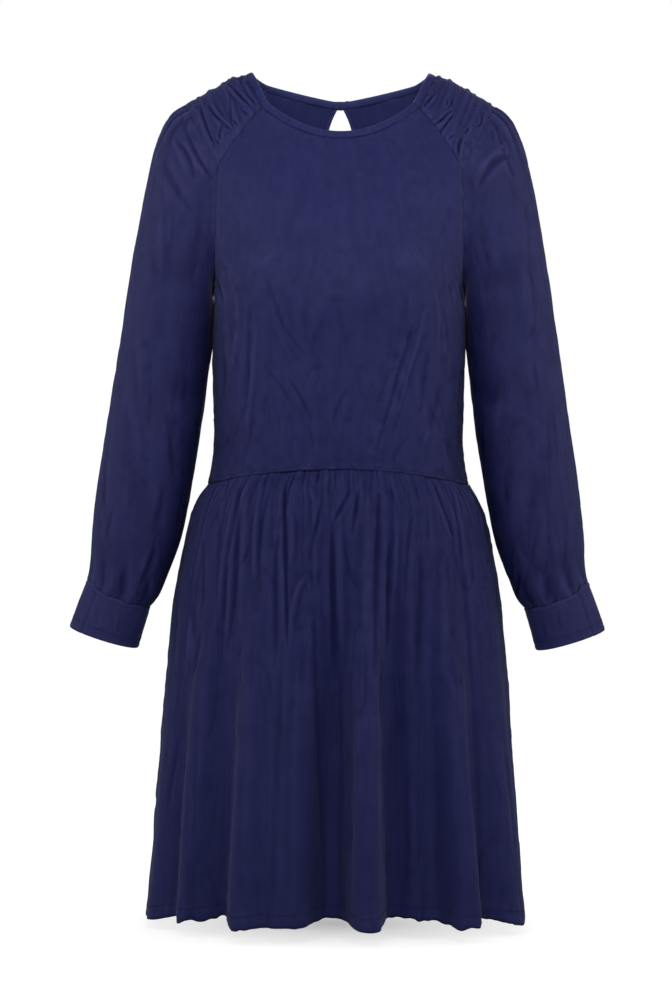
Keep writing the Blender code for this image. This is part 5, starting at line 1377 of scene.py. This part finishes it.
def make_closure():
    """The button is turned from a fine profile with a dished face; the loop is a round cord."""
    part = np.array([0.99 * (1.0 - NECK_SLIT / 2 / NECK_HALF_LENGTH)])
    middle = (neck_edge(part) + neck_lean(part) * (SEAM_GAP + BINDING_WIDTH * 0.6))[0]
    face_y = middle[1] + 0.2 * BINDING_CLOTH + SEAM_GAP
    # Shares of the button's radius and head.
    profile = (
        (0.0, 0.86), (0.30, 0.87), (0.52, 0.92), (0.64, 1.0), (0.76, 1.02), (0.88, 0.92), (0.96, 0.72),
        (1.0, 0.42), (0.98, 0.18), (0.90, 0.0), (0.40, -0.02),
    )
    rows = [(radius * BUTTON_RADIUS, SHANK_LENGTH + height * BUTTON_HEAD) for radius, height in profile]
    rows += [(SHANK_RADIUS, SHANK_LENGTH - 0.0003), (SHANK_RADIUS, 0.0), (0.0, 0.0)]
    vertices, faces = turned(rows, 48)
    place = np.array((BUTTON_X, face_y, middle[2]))
    placed(new_object("button_turned", vertices + place, faces, button_plastic), "button")

    strand = SHANK_RADIUS + LOOP_CORD / 2 + SEAM_GAP
    loop_y = face_y + LOOP_CORD / 2 + 2 * SEAM_GAP
    straight = np.linspace(LOOP_END_X, BUTTON_X - 0.0004, 16)
    turns = np.radians(np.linspace(90.0, -90.0, 25))
    x = np.concatenate((straight, BUTTON_X + strand * np.cos(turns), straight[::-1]))
    z = np.concatenate((np.full(16, strand), strand * np.sin(turns), np.full(16, -strand)))
    path = np.stack((x, np.full_like(x, loop_y), middle[2] + z), -1)
    along = unit(np.gradient(path, axis=0))
    across = unit(np.cross(along, (0.0, 1.0, 0.0)))
    lift = np.cross(across, along)
    turn = 2 * math.pi * np.arange(12) / 12
    ring = across[:, None] * np.cos(turn)[:, None] + lift[:, None] * np.sin(turn)[:, None]
    vertices, faces, uvs = swept(path[:, None] + ring * LOOP_CORD / 2, np.zeros(len(path)), 0.0, True)
    placed(new_object("button_loop_cord", vertices, faces, binding_cloth, uvs), "button_loop")


make_bodice("front_bodice", front_bodice_point, FRONT_BODICE_CREASES, counts=(196, 196), seed=11,
            neck_roll=0.0006, neck_puckers=0.00034, size=(0.42, 0.36))
make_bodice("back_bodice", back_bodice_point, BACK_BODICE_CREASES, counts=(180, 170), seed=21,
            neck_roll=0.0, neck_puckers=0.00030, size=(0.42, 0.40))
for side, name in ((1, "left"), (-1, "right")):
    make_yoke(side, name)
for side, name in ((1, "left"), (-1, "right")):
    make_sleeve(side, name)
    make_cuff(side, name)
make_skirt("front_skirt", -1.0, FRONT_FOLDS, WAIST_FRONT_RISE, HEM_FRONT_RISE, FRONT_SKIRT_CREASES,
           counts=(430, 160), seed=5, fine_at=-12.0)
make_skirt("back_skirt", 1.0, BACK_FOLDS, WAIST_BACK_RISE, HEM_BACK_RISE, BACK_SKIRT_CREASES,
           counts=(330, 140), seed=8, fine_at=6.0)
make_neck_binding()
make_keyhole_binding()
make_closure()
for name, rows in stitching.items():
    piece = new_object(f"stitching_{name}", rows.vertices, rows.faces, thread)
    placed(piece)


# ---------------------------------------------------------------- studio and camera
FLOOR_Z = -0.9350
FLOOR_RADIUS = 6.0
# Painted shadow under the hem: how brightly the floor glows, over an oval of this size: share of the way out,
# and level.
PAINTED_SHADOW_SIZE = (0.832, 0.600)
PAINTED_SHADOW_GLOW = ((0.0, 0.44), (0.10, 0.63), (0.20, 0.79), (0.30, 0.875), (0.45, 0.935), (0.70, 0.98))
CAMERA_X, CAMERA_DISTANCE, CAMERA_Z = -0.0022, 2.85, -0.4741
CAMERA_ROLL = -0.34
# Half of what the picture's height shows at the dress.
HALF_VIEW = 0.5544
WHITE = (1.0, 1.0, 1.0, 1.0)
# Name, place, aim, size, power and colour.
LIGHTS = (
    ("front", (-0.05, -1.12, 0.22), (0.0, 0.0, -0.30), 1.0, 12.6, (0.980, 1.005, 1.045)),
    ("left", (-1.05, -0.28, -0.05), (0.0, 0.0, -0.35), 0.9, 5.8, (1.040, 0.980, 0.940)),
    ("right", (1.05, -0.32, -0.05), (0.0, 0.0, -0.35), 0.9, 6.2, (1.040, 0.980, 0.940)),
    ("back", (0.10, 1.45, 0.25), (0.0, 0.0, -0.35), 0.9, 16.0, (1.0, 1.0, 1.0)),
)


def linked_object(name, data, place):
    thing = bpy.data.objects.new(name, data)
    thing.location = place
    bpy.context.scene.collection.objects.link(thing)
    return thing


def floor_material():
    """The floor glows less under the hem and more away from it: a painted shadow, soft, that ends in the
    white of the studio.
    """
    inputs = {"Base Color": (0.20, 0.20, 0.20, 1.0), "Roughness": 0.9, "Specular IOR Level": 0.0}
    material, tree, shader = new_material("studio_floor", {**inputs, "Emission Color": WHITE})
    scale = (1.0 / PAINTED_SHADOW_SIZE[0], 1.0 / PAINTED_SHADOW_SIZE[1], 1.0)
    oval = add(tree, "Mapping", "Vector", {"Vector": add(tree, "TexCoord", "Object"), "Scale": scale})
    away = add(tree, "VectorMath", "Value", {"Vector": oval}, operation="LENGTH")
    glow_with_painted_shadow = stepped(tree, away, [(place, (level,) * 3) for place, level in PAINTED_SHADOW_GLOW], "CARDINAL")
    fill(tree, shader, {"Emission Strength": glow_with_painted_shadow})
    # It lights the dress from below only a little.
    dim = add(tree, "BsdfDiffuse", "BSDF", {"Color": (0.50, 0.50, 0.50, 1.0)})
    seen = add(tree, "LightPath", "Is Camera Ray")
    mixed = add(tree, "MixShader", "Shader", {"Fac": seen, 1: dim, 2: shader.outputs["BSDF"]})
    fill(tree, tree.nodes["Material Output"], {"Surface": mixed})
    return material


def make_studio():
    count = 64
    turn = 2 * math.pi * np.arange(count) / count
    ring = np.stack((FLOOR_RADIUS * np.cos(turn), FLOOR_RADIUS * np.sin(turn), np.zeros(count)), -1)
    floor = bpy.data.meshes.new("studio_floor")
    triangles = [(0, 1 + s, 1 + (s + 1) % count) for s in range(count)]
    floor.from_pydata([(0.0, 0.0, 0.0), *ring.tolist()], [], triangles)
    floor.materials.append(floor_material())
    linked_object("studio_floor", floor, (0.0, 0.0, FLOOR_Z))

    world = bpy.data.worlds.new("studio")
    world.use_nodes = True
    tree = world.node_tree
    seen = add(tree, "LightPath", "Is Camera Ray")
    inputs = {"Factor": seen, "A": (0.10, 0.10, 0.102, 1.0), "B": WHITE}
    fill(tree, tree.nodes["Background"], {"Color": add(tree, "Mix", "Result", inputs, data_type="RGBA")})
    bpy.context.scene.world = world

    for name, place, aim, size, power, colour in LIGHTS:
        light = bpy.data.lights.new(name, "AREA")
        light.shape = "DISK"
        light.size = size
        light.energy = power
        light.color = colour
        lamp = linked_object(name, light, place)
        lamp.rotation_euler = (Vector(aim) - Vector(place)).to_track_quat("-Z", "Y").to_euler()


def make_camera():
    lens = bpy.data.cameras.new("camera")
    lens.sensor_width = 36.0
    lens.lens = lens.sensor_width / 2 * CAMERA_DISTANCE / HALF_VIEW
    lens.clip_start, lens.clip_end = 0.1, 50.0
    camera = linked_object("camera", lens, (CAMERA_X, -CAMERA_DISTANCE, CAMERA_Z))
    camera.rotation_euler = (math.radians(90.0), math.radians(CAMERA_ROLL), 0.0)
    bpy.context.scene.camera = camera
    bpy.context.scene.view_settings.view_transform = "Standard"


make_studio()
make_camera()
bpy.context.view_layer.update()
